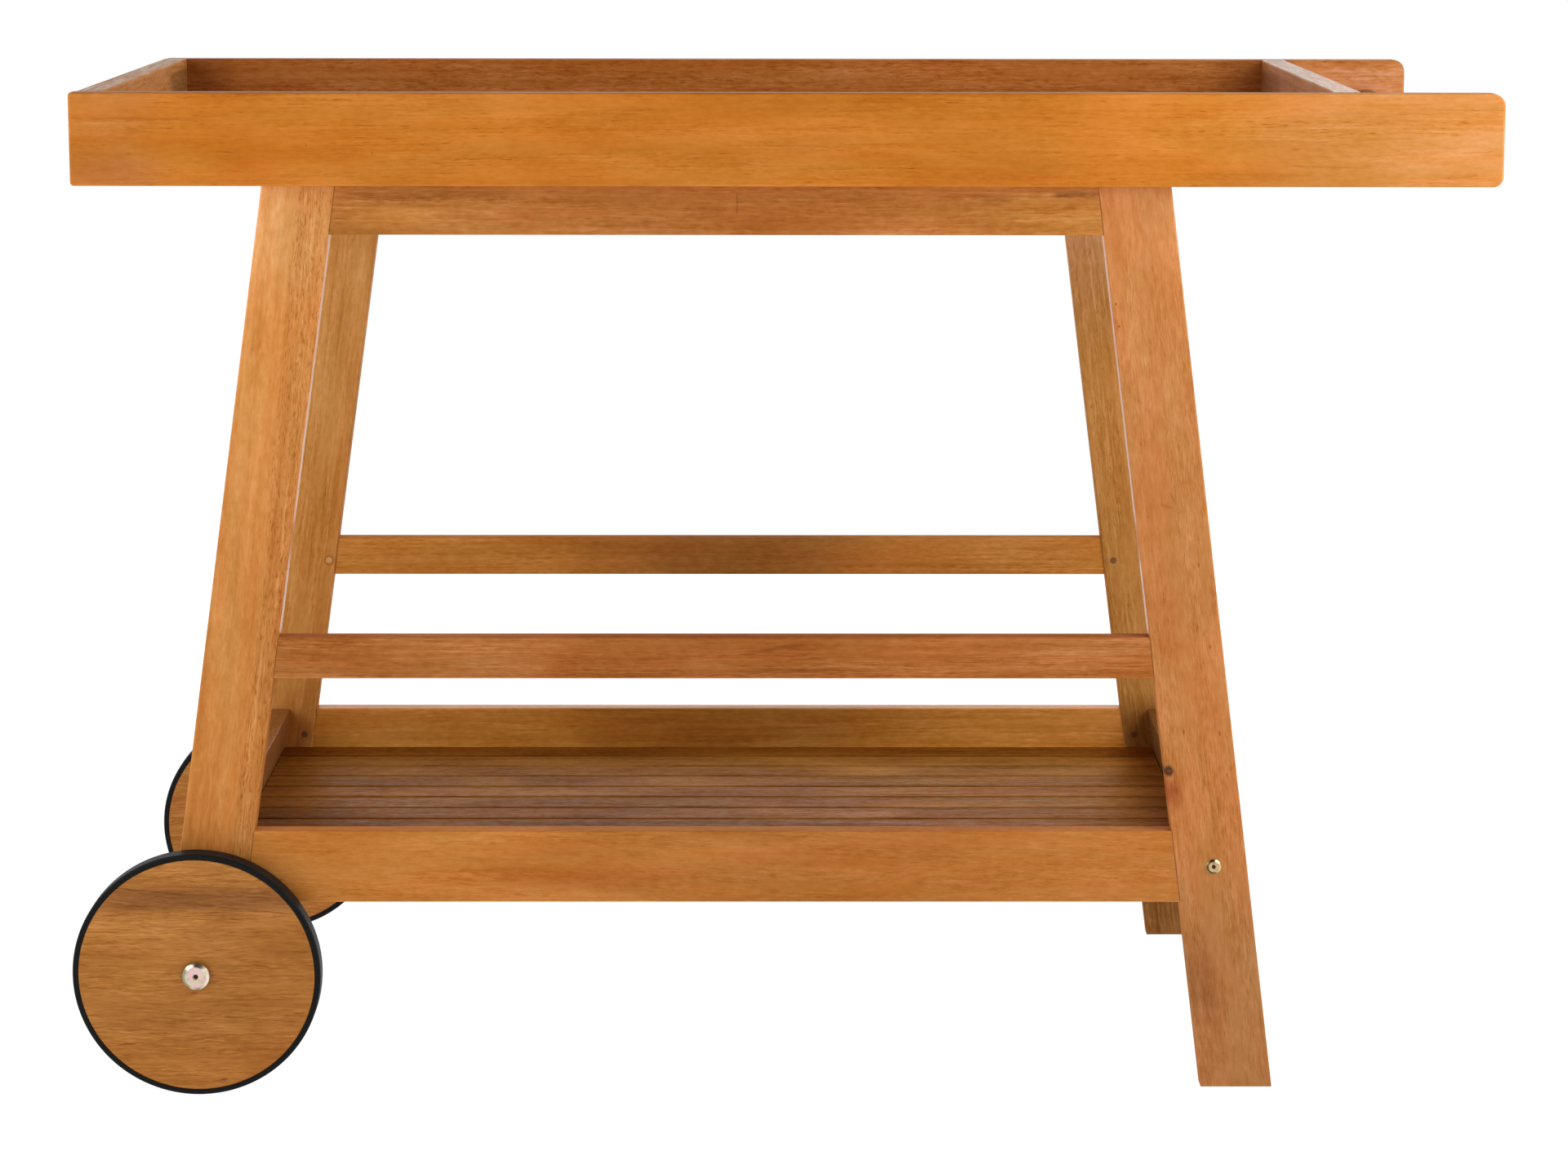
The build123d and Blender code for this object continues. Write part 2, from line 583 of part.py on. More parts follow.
# ---------------------------------------------------------------- screws
with BuildPart() as screw:                 # one short screw, head down, standing on z = 0
    with BuildSketch(Plane.XZ):
        with BuildLine():
            Polyline((0, 0), (4.0, 0), (2.0, 2.0), (2.0, 18.5), (0.4, 22.0), (0, 22.0), close=True)
        make_face()
    revolve(axis=Axis.Z)
    with BuildSketch(Plane.XY):
        Rectangle(4.2, 0.9)
        Rectangle(0.9, 4.2)
    extrude(amount=1.3, mode=Mode.SUBTRACT)

screw_spots = [Location((x, y, tray_bot)) for x in batten_xs for y in t_slat_ys]
screw_spots += [Location((x, y, ledger_bot)) for x in shelf_screw_xs for y in slat_ys]
for side, x_edge in ((-1, led_in_l), (1, led_in_r)):
    screw_spots += [Location((x_edge + side * 8.0, y, slat_bot - 6.5), (0, side * 90, 0))
                    for y in ledger_screw_ys]
with BuildPart() as slat_screws:
    with Locations(*screw_spots):
        add(screw.part)
slat_screws.part.label = "slat_screws"
export_step(slat_screws.part, "parts/slat_screws.step")

with BuildPart() as long_screw:            # one long screw, head up, its head at z = 0
    with BuildSketch(Plane.XZ):
        with BuildLine():
            Polyline((0, 0), (5.0, 0), (2.5, -2.5), (2.5, -44.0), (0.5, -49.5), (0, -49.5), close=True)
        make_face()
    revolve(axis=Axis.Z)
    with BuildSketch(Plane.XY):
        Rectangle(5.0, 1.1)
        Rectangle(1.1, 5.0)
    extrude(amount=-1.6, mode=Mode.SUBTRACT)
with BuildPart() as frame_screws:
    with Locations(*[Location((fx, fy, floor_bot)) for fx, fy in FRAME_SCREWS]):
        add(long_screw.part)
frame_screws.part.label = "frame_screws"
export_step(frame_screws.part, "parts/frame_screws.step")
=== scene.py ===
import math

import bpy
from mathutils import Matrix, Vector

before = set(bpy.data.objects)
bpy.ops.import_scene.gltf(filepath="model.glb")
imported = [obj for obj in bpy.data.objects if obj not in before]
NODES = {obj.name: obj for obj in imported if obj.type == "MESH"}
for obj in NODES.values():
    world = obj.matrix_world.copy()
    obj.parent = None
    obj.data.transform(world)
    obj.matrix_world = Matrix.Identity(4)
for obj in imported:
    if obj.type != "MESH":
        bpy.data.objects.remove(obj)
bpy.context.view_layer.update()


# ------------------------------------------------------------------ small helpers
def rgb(r, g, b):
    """A colour given as screen values 0-255, as linear light."""
    def lin(c):
        c = max(c, 0.0) / 255.0
        return c / 12.92 if c <= 0.04045 else ((c + 0.055) / 1.055) ** 2.4
    return (lin(r), lin(g), lin(b), 1.0)


def deep(k, green=1.5, blue=2.7):
    """A factor that makes wood darker (k < 1) and redder at once, as its darker grain is."""
    return (k, k ** green, k ** blue)


class Tree:
    """Shortcuts for building one material's nodes."""

    def __init__(self, name):
        self.mat = bpy.data.materials.new(name)
        self.mat.use_nodes = True
        self.nt = self.mat.node_tree
        self.nt.nodes.clear()
        self.out = self.nt.nodes.new("ShaderNodeOutputMaterial")
        self.bsdf = self.nt.nodes.new("ShaderNodeBsdfPrincipled")
        self.nt.links.new(self.bsdf.outputs[0], self.out.inputs[0])
        self.tc = self.nt.nodes.new("ShaderNodeTexCoord")

    def put(self, socket, value):
        if isinstance(value, bpy.types.NodeSocket):
            self.nt.links.new(value, socket)
        elif value is not None:
            socket.default_value = value

    def node(self, kind, inputs=(), **props):
        n = self.nt.nodes.new(kind)
        for k, v in props.items():
            setattr(n, k, v)
        for k, v in dict(inputs).items():
            self.put(n.inputs[k], v)
        return n

    def m(self, op, a, b=None, c=None, clamp=False):
        n = self.nt.nodes.new("ShaderNodeMath")
        n.operation = op
        n.use_clamp = clamp
        self.put(n.inputs[0], a)
        if b is not None:
            self.put(n.inputs[1], b)
        if c is not None:
            self.put(n.inputs[2], c)
        return n.outputs[0]

    def v(self, op, a, b=None):
        n = self.nt.nodes.new("ShaderNodeVectorMath")
        n.operation = op
        self.put(n.inputs[0], a)
        if b is not None:
            self.put(n.inputs[1], b)
        return n.outputs["Value"] if op in ("LENGTH", "DOT_PRODUCT", "DISTANCE") else n.outputs[0]

    def scaled(self, vec, su, sv, sw, seed=(0, 0, 0)):
        """vec divided by the given lengths, moved by a seed."""
        n = self.nt.nodes.new("ShaderNodeVectorMath")
        n.operation = "MULTIPLY_ADD"
        self.put(n.inputs[0], vec)
        n.inputs[1].default_value = (1.0 / su, 1.0 / sv, 1.0 / sw)
        n.inputs[2].default_value = seed
        return n.outputs[0]

    def noise(self, vec, detail=2.0, rough=0.5, lac=2.0, dist=0.0):
        n = self.nt.nodes.new("ShaderNodeTexNoise")
        n.noise_dimensions = "3D"
        self.put(n.inputs["Vector"], vec)
        n.inputs["Scale"].default_value = 1.0
        n.inputs["Detail"].default_value = detail
        n.inputs["Roughness"].default_value = rough
        n.inputs["Lacunarity"].default_value = lac
        n.inputs["Distortion"].default_value = dist
        return n.outputs["Fac"]

    def ramp(self, x, a, b, lo=0.0, hi=1.0, smooth=True):
        n = self.nt.nodes.new("ShaderNodeMapRange")
        n.interpolation_type = "SMOOTHSTEP" if smooth else "LINEAR"
        n.clamp = True
        self.put(n.inputs["Value"], x)
        n.inputs["From Min"].default_value = a
        n.inputs["From Max"].default_value = b
        n.inputs["To Min"].default_value = lo
        n.inputs["To Max"].default_value = hi
        return n.outputs[0]

    def mix(self, fac, a, b, blend="MIX"):
        n = self.nt.nodes.new("ShaderNodeMix")
        n.data_type = "RGBA"
        n.blend_type = blend
        n.clamp_factor = True
        self.put(n.inputs[0], fac)
        self.put(n.inputs[6], a)
        self.put(n.inputs[7], b)
        return n.outputs[2]

    def split(self, vec):
        n = self.nt.nodes.new("ShaderNodeSeparateXYZ")
        self.put(n.inputs[0], vec)
        return n.outputs[0], n.outputs[1], n.outputs[2]

    def join(self, x, y, z):
        n = self.nt.nodes.new("ShaderNodeCombineXYZ")
        self.put(n.inputs[0], x)
        self.put(n.inputs[1], y)
        self.put(n.inputs[2], z)
        return n.outputs[0]

    def local(self, centre, A, B, C):
        """Board coordinates in millimetres: along the grain, across it, through it."""
        n = self.nt.nodes.new("ShaderNodeMapping")
        n.vector_type = "TEXTURE"
        self.put(n.inputs["Vector"], self.tc.outputs["Object"])
        rot = Matrix((A, B, C)).transposed().to_euler("XYZ")
        n.inputs["Location"].default_value = centre
        n.inputs["Rotation"].default_value = rot
        n.inputs["Scale"].default_value = (0.001, 0.001, 0.001)
        return n.outputs[0]


X, Y, Z = Vector((1, 0, 0)), Vector((0, 1, 0)), Vector((0, 0, 1))


def axes(along):
    """The board's axes: along the grain, across the face, through the thickness."""
    if along == "x":
        A, B = X, Z
    elif along == "x_flat":                 # a board lying flat, seen from above
        A, B = X, Y
    elif along == "y":
        A, B = Y, Z
    elif along == "y_flat":
        A, B = Y, X
    elif along == "leg_left":
        A = Vector((0.1425, 0, 1)).normalized()
        B = Vector((-1, 0, 0.1425)).normalized()
    elif along == "leg_right":
        A = Vector((-0.1289, 0, 1)).normalized()
        B = Vector((-1, 0, -0.1289)).normalized()
    elif along == "end_left":
        A = Y
        B = Vector((0.1425, 0, 1)).normalized()
    elif along == "end_right":
        A = Y
        B = Vector((-0.1289, 0, 1)).normalized()
    return A, B, A.cross(B)


def extent(node, A, B, C):
    co = [v.co for v in NODES[node].data.vertices]
    lo = [min(p.dot(k) for p in co) for k in (A, B, C)]
    hi = [max(p.dot(k) for p in co) for k in (A, B, C)]
    mid = [(a + b) / 2 for a, b in zip(lo, hi)]
    centre = A * mid[0] + B * mid[1] + C * mid[2]
    half = [(b - a) * 500.0 for a, b in zip(lo, hi)]
    return centre, half


# ------------------------------------------------------------------ wood
WOOD = dict(
    mean=(190, 120, 60),                    # the board's own colour, screen values
    contrast=0.40, warm=(1.6, 3.4),         # light against dark wood; how fast green and blue fall with red
    tint=(1.06, 0.96, 0.90), tint_amount=0.8, hue_len=170.0, hue_mm=22.0,   # a second hue in slow patches
    ring=0.6, ring_mm=5.0, pith=(160.0, -90.0), taper=0.0, tilt=0.0, warp=5.0,
    wave=0.0, wave_mm=60.0, wobble=0.5, wobble_len=30.0,
    patchy=(0.35, 1.35), patch_len=150.0, patch_mm=14.0,    # where the grain is strong or faint
    streak=0.8, streak_len=95.0, streak_mm=2.4, fibre=0.75, fibre_len=13.0, fibre_mm=0.8,
    mottle=0.65, mottle_len=10.0, mottle_mm=3.6,
    blotch=0.9, blotch_len=120.0, blotch_mm=32.0,
    pores=0.6, pore_len=8.0, pore_mm=0.8, pore_lo=0.60, pore_k=0.68,
    flecks=0.0, fleck_len=7.0, fleck_mm=1.4, fleck_lo=0.57, fleck_k=0.74,
    coarse=None, coarse_tint=(1.0, 1.0, 1.0), plain_k=0.45,   # (from, to) across the grain: plain side, coarse side
    wear=0.25, wear_mm=2.0, wear_k=1.35, end_k=0.55, slope=(0.0, 0.0), bow=0.0,
    rough=0.5, rough_var=0.12, edge_rough=0.3, dull_below=None, spec=0.18, bump=1.0,
    zones=(), spots=(), lines=(),
)


def wood(name, node, along, seed, **over):
    """One board's wood: growth bands, streaks, fibres, pores, blotches, worn arrises and end grain."""
    k = dict(WOOD, **over)
    t = Tree(name)
    A, B, C = axes(along)
    centre, half = extent(node, A, B, C)
    p = t.local(centre, A, B, C)
    u, v, w = t.split(p)
    s = (seed * 13.37 % 91.0, seed * 7.77 % 53.0, seed * 3.31 % 71.0)

    def uv(point):
        """Board coordinates of a point given in the cart's millimetres (None = board's middle)."""
        q = Vector([centre[i] if c is None else c / 1000.0 for i, c in enumerate(point)]) - centre
        return q.dot(A) * 1000.0, q.dot(B) * 1000.0

    def signed(x, gain):
        return t.m("MULTIPLY", t.m("SUBTRACT", x, 0.5), gain)

    def times(col, factor):
        return t.mix(1.0, col, tuple(factor) + (1.0,), "MULTIPLY")

    # the grain wanders a little along the board, and each fibre a little more
    drift = t.noise(t.scaled(p, 330.0, 70.0, 70.0, s), detail=2.0, rough=0.45)
    shift = signed(drift, k["warp"] * 2.0)
    if k["wave"]:
        ripple = t.noise(t.scaled(p, k["wave_mm"], 24.0, 24.0, (s[2], s[1], s[0])), detail=1.0, rough=0.5)
        shift = t.m("ADD", shift, signed(ripple, k["wave"] * 2.0))
    if k["wobble"]:
        jitter = t.noise(t.scaled(p, k["wobble_len"], 7.0, 7.0, (s[1], s[0], s[2])), detail=2.0, rough=0.55)
        shift = t.m("ADD", shift, signed(jitter, k["wobble"] * 4.0))
    if k["tilt"]:
        shift = t.m("MULTIPLY_ADD", u, k["tilt"], shift)
    gv = t.m("ADD", v, shift)
    g = t.join(u, gv, w)

    # growth bands, round a pith that lies outside the board
    r = t.v("LENGTH", t.join(0.0, t.m("SUBTRACT", gv, k["pith"][0]), t.m("SUBTRACT", w, k["pith"][1])))
    if k["taper"]:
        r = t.m("MULTIPLY_ADD", u, k["taper"], r)
    rings = t.noise(t.join(t.m("DIVIDE", r, k["ring_mm"]), t.m("DIVIDE", u, 420.0), s[1]), detail=3.0, rough=0.55)
    streaks = t.noise(t.scaled(g, k["streak_len"], k["streak_mm"], k["streak_mm"], s), detail=3.0, rough=0.6)
    fibres = t.noise(t.scaled(g, k["fibre_len"], k["fibre_mm"], k["fibre_mm"], s), detail=2.0, rough=0.6)
    blotch = t.noise(t.scaled(g, k["blotch_len"], k["blotch_mm"], k["blotch_mm"], s), detail=2.0, rough=0.5)
    mottle = t.noise(t.scaled(g, k["mottle_len"], k["mottle_mm"], k["mottle_mm"], (s[1], s[2], s[0])), detail=2.0, rough=0.55)
    dashes = t.noise(t.scaled(g, k["pore_len"], k["pore_mm"], k["pore_mm"], (s[2], s[0], s[1])), detail=1.0, rough=0.5)
    where = t.noise(t.scaled(g, k["patch_len"], k["patch_mm"], k["patch_mm"], (s[0], s[2], s[1])), detail=2.0, rough=0.55)
    strong = t.ramp(where, 0.38, 0.62, k["patchy"][0], k["patchy"][1])
    side = None
    if k["coarse"]:
        side = t.ramp(t.m("ADD", gv, signed(blotch, 14.0)), k["coarse"][0], k["coarse"][1])
        strong = t.m("MULTIPLY", strong, t.m("MULTIPLY_ADD", side, 1.0 - k["plain_k"], k["plain_k"]))

    # dark against light wood
    fine = t.m("ADD", signed(streaks, k["streak"]), signed(fibres, k["fibre"]))
    tone = t.m("ADD", signed(rings, k["ring"]), 0.5)
    tone = t.m("MULTIPLY_ADD", fine, strong, tone)
    tone = t.m("ADD", tone, signed(blotch, k["blotch"]))
    tone = t.m("ADD", tone, signed(mottle, k["mottle"]))
    if k["slope"][0]:
        tone = t.m("MULTIPLY_ADD", u, k["slope"][0] / half[0], tone)
    if k["slope"][1]:
        tone = t.m("MULTIPLY_ADD", v, k["slope"][1] / half[1], tone)
    if k["bow"]:                             # darker in the middle of the length
        x2 = t.m("POWER", t.m("ABSOLUTE", t.m("DIVIDE", u, half[0])), 2.0)
        tone = t.m("ADD", tone, t.m("MULTIPLY", t.m("SUBTRACT", 0.45, x2), k["bow"]))
    base = rgb(*k["mean"])
    c = k["contrast"]
    # red follows the tone; green and blue follow it faster, so the dark grain is red-brown
    kr = t.m("MAXIMUM", t.m("MULTIPLY_ADD", t.m("SUBTRACT", tone, 0.5), -c, 1.0), 0.15)
    wg, wb = k["warm"]
    col = t.v("MULTIPLY", t.join(kr, t.m("POWER", kr, wg), t.m("POWER", kr, wb)), tuple(base[:3]))
    # a second hue in slow patches
    hue = t.ramp(t.noise(t.scaled(g, k["hue_len"], k["hue_mm"], k["hue_mm"], (s[1], s[2], s[0])), detail=2.0), 0.38, 0.62)
    col = t.mix(t.m("MULTIPLY", hue, k["tint_amount"]), col, times(col, k["tint"]))
    if side is not None:
        col = t.mix(side, col, times(col, k["coarse_tint"]))

    # zones of another colour: (corner, corner, soft_u, soft_v, factor on the colour, amount[, which broad face])
    wob = signed(blotch, 1.0)
    for zone in k["zones"]:
        P0, P1, su, sv, fac, amount = zone[:6]
        (ua, va), (ub, vb) = uv(P0), uv(P1)
        u0, u1, v0, v1 = min(ua, ub), max(ua, ub), min(va, vb), max(va, vb)
        mu = t.m("ABSOLUTE", t.m("SUBTRACT", t.m("MULTIPLY_ADD", wob, su * 2.0, u), (u0 + u1) / 2))
        mask = t.ramp(mu, (u1 - u0) / 2 + su, (u1 - u0) / 2 - su)
        if sv:                               # with sv 0 it takes the whole width
            mv = t.m("ABSOLUTE", t.m("SUBTRACT", t.m("MULTIPLY_ADD", wob, sv * 2.0, v), (v0 + v1) / 2))
            mask = t.m("MULTIPLY", mask, t.ramp(mv, (v1 - v0) / 2 + sv, (v1 - v0) / 2 - sv))
        if len(zone) > 6:                    # on one broad face only
            mask = t.m("MULTIPLY", mask, t.ramp(t.m("MULTIPLY", w, zone[6]), -2.0, 2.0))
        col = t.mix(t.m("MULTIPLY", mask, amount), col, times(col, fac))

    # pores: short dark dashes along the grain, thicker in some bands
    pore = t.m("MULTIPLY", t.ramp(dashes, k["pore_lo"], k["pore_lo"] + 0.14), t.ramp(streaks, 0.38, 0.62, 0.35, 1.0))
    pore = t.m("MULTIPLY", pore, t.m("MINIMUM", strong, 1.0))
    pk = k["pore_k"]
    col = t.mix(t.m("MULTIPLY", pore, k["pores"]), col, times(col, deep(pk, wg, wb * 0.85)))
    if k["flecks"]:                          # longer lens-shaped marks
        lens = t.noise(t.scaled(g, k["fleck_len"], k["fleck_mm"], k["fleck_mm"], (s[0], s[1] + 9.0, s[2])), detail=2.0, rough=0.5)
        fleck = t.m("MULTIPLY", t.ramp(lens, k["fleck_lo"], k["fleck_lo"] + 0.12), k["flecks"])
        fleck = t.m("MULTIPLY", fleck, side if side is not None else t.m("MINIMUM", strong, 1.0))
        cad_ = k["fleck_k"]
        col = t.mix(fleck, col, times(col, deep(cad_, wg, wb * 0.85)))

    # spots: (point, ru, rv, factor on the colour, amount), soft ovals on the grain
    for (P0, ru, rv, fac, amount) in k["spots"]:
        pu, pv = uv(P0)
        d = t.v("LENGTH", t.v("MULTIPLY", t.v("SUBTRACT", t.join(u, v, 0.0), (pu, pv, 0.0)), (1.0 / ru, 1.0 / rv, 0.0)))
        d = t.m("ADD", d, signed(fibres, 0.6))
        mask = t.m("MULTIPLY", t.ramp(d, 1.2, 0.5), amount)
        col = t.mix(mask, col, times(col, fac))

    # lines: (point, point, half width, factor on the colour, amount), soft marks from one point to the other
    for (P0, P1, hw, fac, amount) in k["lines"]:
        (ua, va), (ub, vb) = uv(P0), uv(P1)
        L = math.hypot(ub - ua, vb - va)
        du, dv_ = (ub - ua) / L, (vb - va) / L
        qu, qv = t.m("SUBTRACT", u, ua), t.m("SUBTRACT", v, va)
        along_ = t.m("ADD", t.m("MULTIPLY", qu, du), t.m("MULTIPLY", qv, dv_))
        off = t.m("SUBTRACT", t.m("MULTIPLY", qv, du), t.m("MULTIPLY", qu, dv_))
        off = t.m("ADD", off, signed(mottle, hw * 2.0))
        ends = t.ramp(t.m("ABSOLUTE", t.m("SUBTRACT", along_, L / 2)), L * 0.5, L * 0.28)
        mask = t.m("MULTIPLY", t.ramp(t.m("ABSOLUTE", off), hw * 1.3, hw * 0.25), ends)
        mask = t.m("MULTIPLY", mask, t.ramp(fibres, 0.30, 0.60, 0.55, 1.0))
        col = t.mix(t.m("MULTIPLY", mask, amount), col, times(col, fac))

    # arrises are rubbed paler, end grain is darker
    du = t.m("SUBTRACT", half[0], t.m("ABSOLUTE", u))
    dv = t.m("SUBTRACT", half[1], t.m("ABSOLUTE", v))
    dw = t.m("SUBTRACT", half[2], t.m("ABSOLUTE", w))
    lo = t.m("MINIMUM", du, dv)
    hi = t.m("MAXIMUM", du, dv)
    edge = t.m("MAXIMUM", lo, t.m("MINIMUM", hi, dw))
    edge = t.m("ADD", edge, signed(blotch, 3.0))
    worn = t.ramp(edge, k["wear_mm"], k["wear_mm"] * 0.2)
    wk = k["wear_k"]
    col = t.mix(t.m("MULTIPLY", worn, k["wear"]), col, times(col, (wk, wk ** 1.2, wk ** 1.5)))
    normal_u = t.m("ABSOLUTE", t.v("DOT_PRODUCT", t.tc.outputs["Normal"], tuple(A)))
    end = t.ramp(normal_u, 0.75, 0.95)
    ek = k["end_k"]
    col = t.mix(end, col, times(col, (ek, ek ** 1.15, ek ** 1.3)))

    # the planed narrow faces are smoother than the broad ones
    broad = t.ramp(t.m("ABSOLUTE", t.v("DOT_PRODUCT", t.tc.outputs["Normal"], tuple(C))), 0.25, 0.85)
    rough = t.m("MULTIPLY_ADD", broad, k["rough"] - k["edge_rough"], k["edge_rough"])
    if k["dull_below"] is not None:          # rubbed dull near the floor
        low = uv((None, None, k["dull_below"]))[0]
        dull = t.m("MULTIPLY", t.m("SUBTRACT", 1.0, broad), t.ramp(u, low + 10.0, low - 10.0, 0.0, 0.7))
        rough = t.m("ADD", rough, dull)
    rough = t.m("ADD", signed(streaks, k["rough_var"] * 2.0), rough)
    rough = t.m("ADD", signed(mottle, k["rough_var"] * 1.5), rough)
    rough = t.m("MULTIPLY_ADD", pore, 0.2, rough)
    rough = t.m("MULTIPLY_ADD", end, 0.25, rough)
    rough = t.m("MULTIPLY_ADD", worn, -0.05, rough, clamp=True)
    height = t.m("MULTIPLY_ADD", pore, -0.05, t.m("MULTIPLY", fibres, 0.03))
    height = t.m("MULTIPLY_ADD", streaks, 0.02, height)
    bump = t.node("ShaderNodeBump", {"Height": height, "Strength": 0.6, "Distance": 0.001 * k["bump"]})
    t.put(t.bsdf.inputs["Normal"], bump.outputs[0])
    t.put(t.bsdf.inputs["Base Color"], col)
    t.put(t.bsdf.inputs["Roughness"], rough)
    t.bsdf.inputs["Specular IOR Level"].default_value = k["spec"]
    dress(node, t.mat)
    return t


def dress(node, mat):
    o = NODES[node]
    for i in range(max(1, len(o.material_slots))):
        if len(o.material_slots) <= i:
            o.data.materials.append(mat)
        else:
            o.material_slots[i].material = mat


# every board's colour; the shelf end boards' are darkened as painted shade, and the handle bar's part way
MEAN = dict(
    tray_rail_front=(192, 117, 38), tray_rail_back=(194, 118, 49),
    # the handle bar's colour is darkened part way as painted shade
    tray_end_left=(214, 149, 86), tray_end_right=(204, 140, 88), handle_bar=(150, 96, 50),
    tray_floor=(180, 112, 56), batten=(168, 104, 52),
    leg_front_left=(205, 137, 67), leg_front_right=(191, 123, 63),
    leg_back_left=(198, 134, 65), leg_back_right=(186, 127, 63),
    apron_front=(179, 112, 47), guard_rail_front=(170, 102, 45), guard_rail_back=(191, 124, 48),
    shelf_rail_front=(188, 118, 49), shelf_rail_back=(195, 131, 50), apron_back=(172, 106, 48),
    # painted shade: both shelf end boards are darkened
    shelf_end_left=(150, 98, 50), shelf_end_right=(120, 80, 36),
    shelf_slat=(150, 101, 40), disc=(172, 109, 46), peg=(118, 84, 52),
)


def made_of(node, along, seed, mean=None, **over):
    wood(node + "_wood", node, along, seed, mean=MEAN[mean or node], **over)


def at(x, z):
    """A point on a board that stands in a long side of the cart."""
    return (x, None, z)


def across(x0, x1):
    """The whole width of such a board from one place along the cart to another."""
    return (x0, None, None), (x1, None, None)


SMOOTH = dict(contrast=0.46, warm=(1.75, 5.0), ring=0.35, ring_mm=9.0, streak=0.7, streak_len=80.0, streak_mm=2.3,
              fibre=0.55, fibre_len=9.0, fibre_mm=0.9, blotch=1.0, mottle=0.5, mottle_len=9.0, mottle_mm=3.2, wobble=0.3,
              pores=1.0, pore_lo=0.615, pore_len=11.0, pore_mm=0.9, patchy=(0.15, 1.35))
DARK = dict(contrast=0.56, ring=0.7, streak=1.0, fibre=0.85, mottle=0.75, pores=0.6, flecks=0.5,
            fleck_len=9.0, fleck_mm=1.5)
DEEP = deep(0.76)

made_of("tray_rail_front", "x", 1, **dict(SMOOTH, spec=0.08, edge_rough=0.42),
        zones=(across(-600, -520) + (30.0, 0.0, (0.93, 0.96, 1.35), 1.0),
               across(250, 420) + (60.0, 0.0, (1.06, 1.13, 1.35), 1.0),
               across(420, 640) + (60.0, 0.0, (1.04, 1.26, 2.7), 1.0),
               (at(-458, 788), at(-418, 818), 20.0, 10.0, (1.0, 0.88, 0.85), 0.8),
               (at(-600, 785), at(-530, 812), 25.0, 12.0, (0.88, 0.84, 1.05), 0.9),
               # painted highlight: a paler band along the top arris and the top face
               (at(-700, 857), at(700, 875), 0.0, 3.0, (1.07, 1.08, 1.1), 0.8),
               (at(-60, 800), at(60, 830), 50.0, 12.0, (0.93, 0.9, 0.85), 0.7),
               (at(-260, 825), at(-160, 850), 40.0, 10.0, (1.05, 1.04, 1.0), 0.8),
               (at(140, 790), at(260, 812), 40.0, 9.0, (0.93, 0.88, 0.8), 0.7),
               (at(380, 786), at(520, 806), 40.0, 8.0, (0.94, 0.9, 0.8), 0.7)),
        spots=((at(-394, 821), 1.1, 0.9, DEEP, 0.8), (at(-339, 815), 1.5, 0.9, DEEP, 0.8),
               (at(-542, 814), 2.4, 1.1, DEEP, 0.7), (at(-563, 821), 1.4, 0.9, DEEP, 0.6)),
        lines=((at(-592, 843), at(-470, 843), 1.2, deep(0.84), 0.7), (at(-150, 851), at(-95, 851), 0.8, DEEP, 0.7),
               (at(40, 850), at(100, 851), 1.0, DEEP, 0.6), (at(420, 805), at(500, 803), 1.2, deep(0.82), 0.7),
               (at(470, 826), at(540, 828), 0.8, DEEP, 0.6), (at(300, 856), at(360, 855), 0.8, DEEP, 0.6)))
made_of("tray_rail_back", "x", 2, **dict(DARK, contrast=0.57, warm=(1.85, 4.8), flecks=0.85, wobble=1.2),
        # painted shade: the first zone darkens the inner face in the tray's left back corner
        zones=((at(-600, 800), at(-530, 870), 25.0, 8.0, (0.66, 0.6, 0.6), 0.95, 1.0),
               across(495, 640) + (12.0, 0.0, (1.02, 1.2, 2.1), 1.0),
               # painted shade: darker inside the tray next to the right end board
               across(430, 480) + (25.0, 0.0, (0.82, 0.8, 0.82), 1.0, 1.0)))
made_of("tray_end_left", "y", 3, rough=0.8, edge_rough=0.4, rough_var=0.3, spec=0.16, contrast=0.5, mottle=0.3,
        streak=1.2, streak_len=60.0, streak_mm=4.0, wear=0.3, wear_mm=3.0,
        # painted shade: the inner face is darker towards the back of the tray
        zones=(((None, 150, 780), (None, 400, 857), 30.0, 2.5, (0.62, 0.6, 0.6), 1.0, 1.0),
               # painted sheen: the top face is made paler, standing in for the reflected backdrop
               ((None, -400, 862), (None, 400, 880), 0.0, 2.0, (1.45, 1.3, 1.25), 1.0)))
made_of("tray_end_right", "y", 4, rough=0.55, edge_rough=0.26, rough_var=0.16, spec=0.35, contrast=0.5, mottle=0.2,
        streak=1.2, streak_len=60.0, streak_mm=4.0, wear=0.5, wear_mm=3.0,
        # painted shade: the inner face is darker towards the back of the tray
        zones=(((None, 60, 780), (None, 400, 857), 80.0, 2.5, (0.62, 0.58, 0.56), 1.0, -1.0),))
made_of("handle_bar", "y", 5)
for i in range(1, 9):
    made_of(f"tray_slat_{i}", "x_flat", 10 + i, "tray_floor")
for i, n in enumerate(("left", "middle", "right")):
    made_of(f"tray_batten_{n}", "y_flat", 20 + i, "batten")
made_of("leg_front_left", "leg_left", 31, contrast=0.74, warm=(1.65, 3.4), tilt=-0.026, ring=0.6, ring_mm=7.0, streak=0.9,
        streak_len=80.0, streak_mm=2.2, fibre=0.9, fibre_len=11.0, flecks=1.0, fleck_mm=1.2, fleck_lo=0.55, plain_k=0.3,
        coarse=(-7.0, -14.0), coarse_tint=(0.9, 0.85, 0.78), wobble=0.9, mottle=0.5, blotch=0.6, dull_below=402.0,
        zones=(((None, None, 715), (None, None, 900), 45.0, 0.0, (1.09, 1.24, 1.7), 1.0),
               ((None, None, -40), (None, None, 560), 90.0, 0.0, (0.94, 0.93, 0.92), 1.0),
               ((None, None, -40), (None, None, 330), 90.0, 0.0, (0.98, 0.94, 0.86), 1.0)))
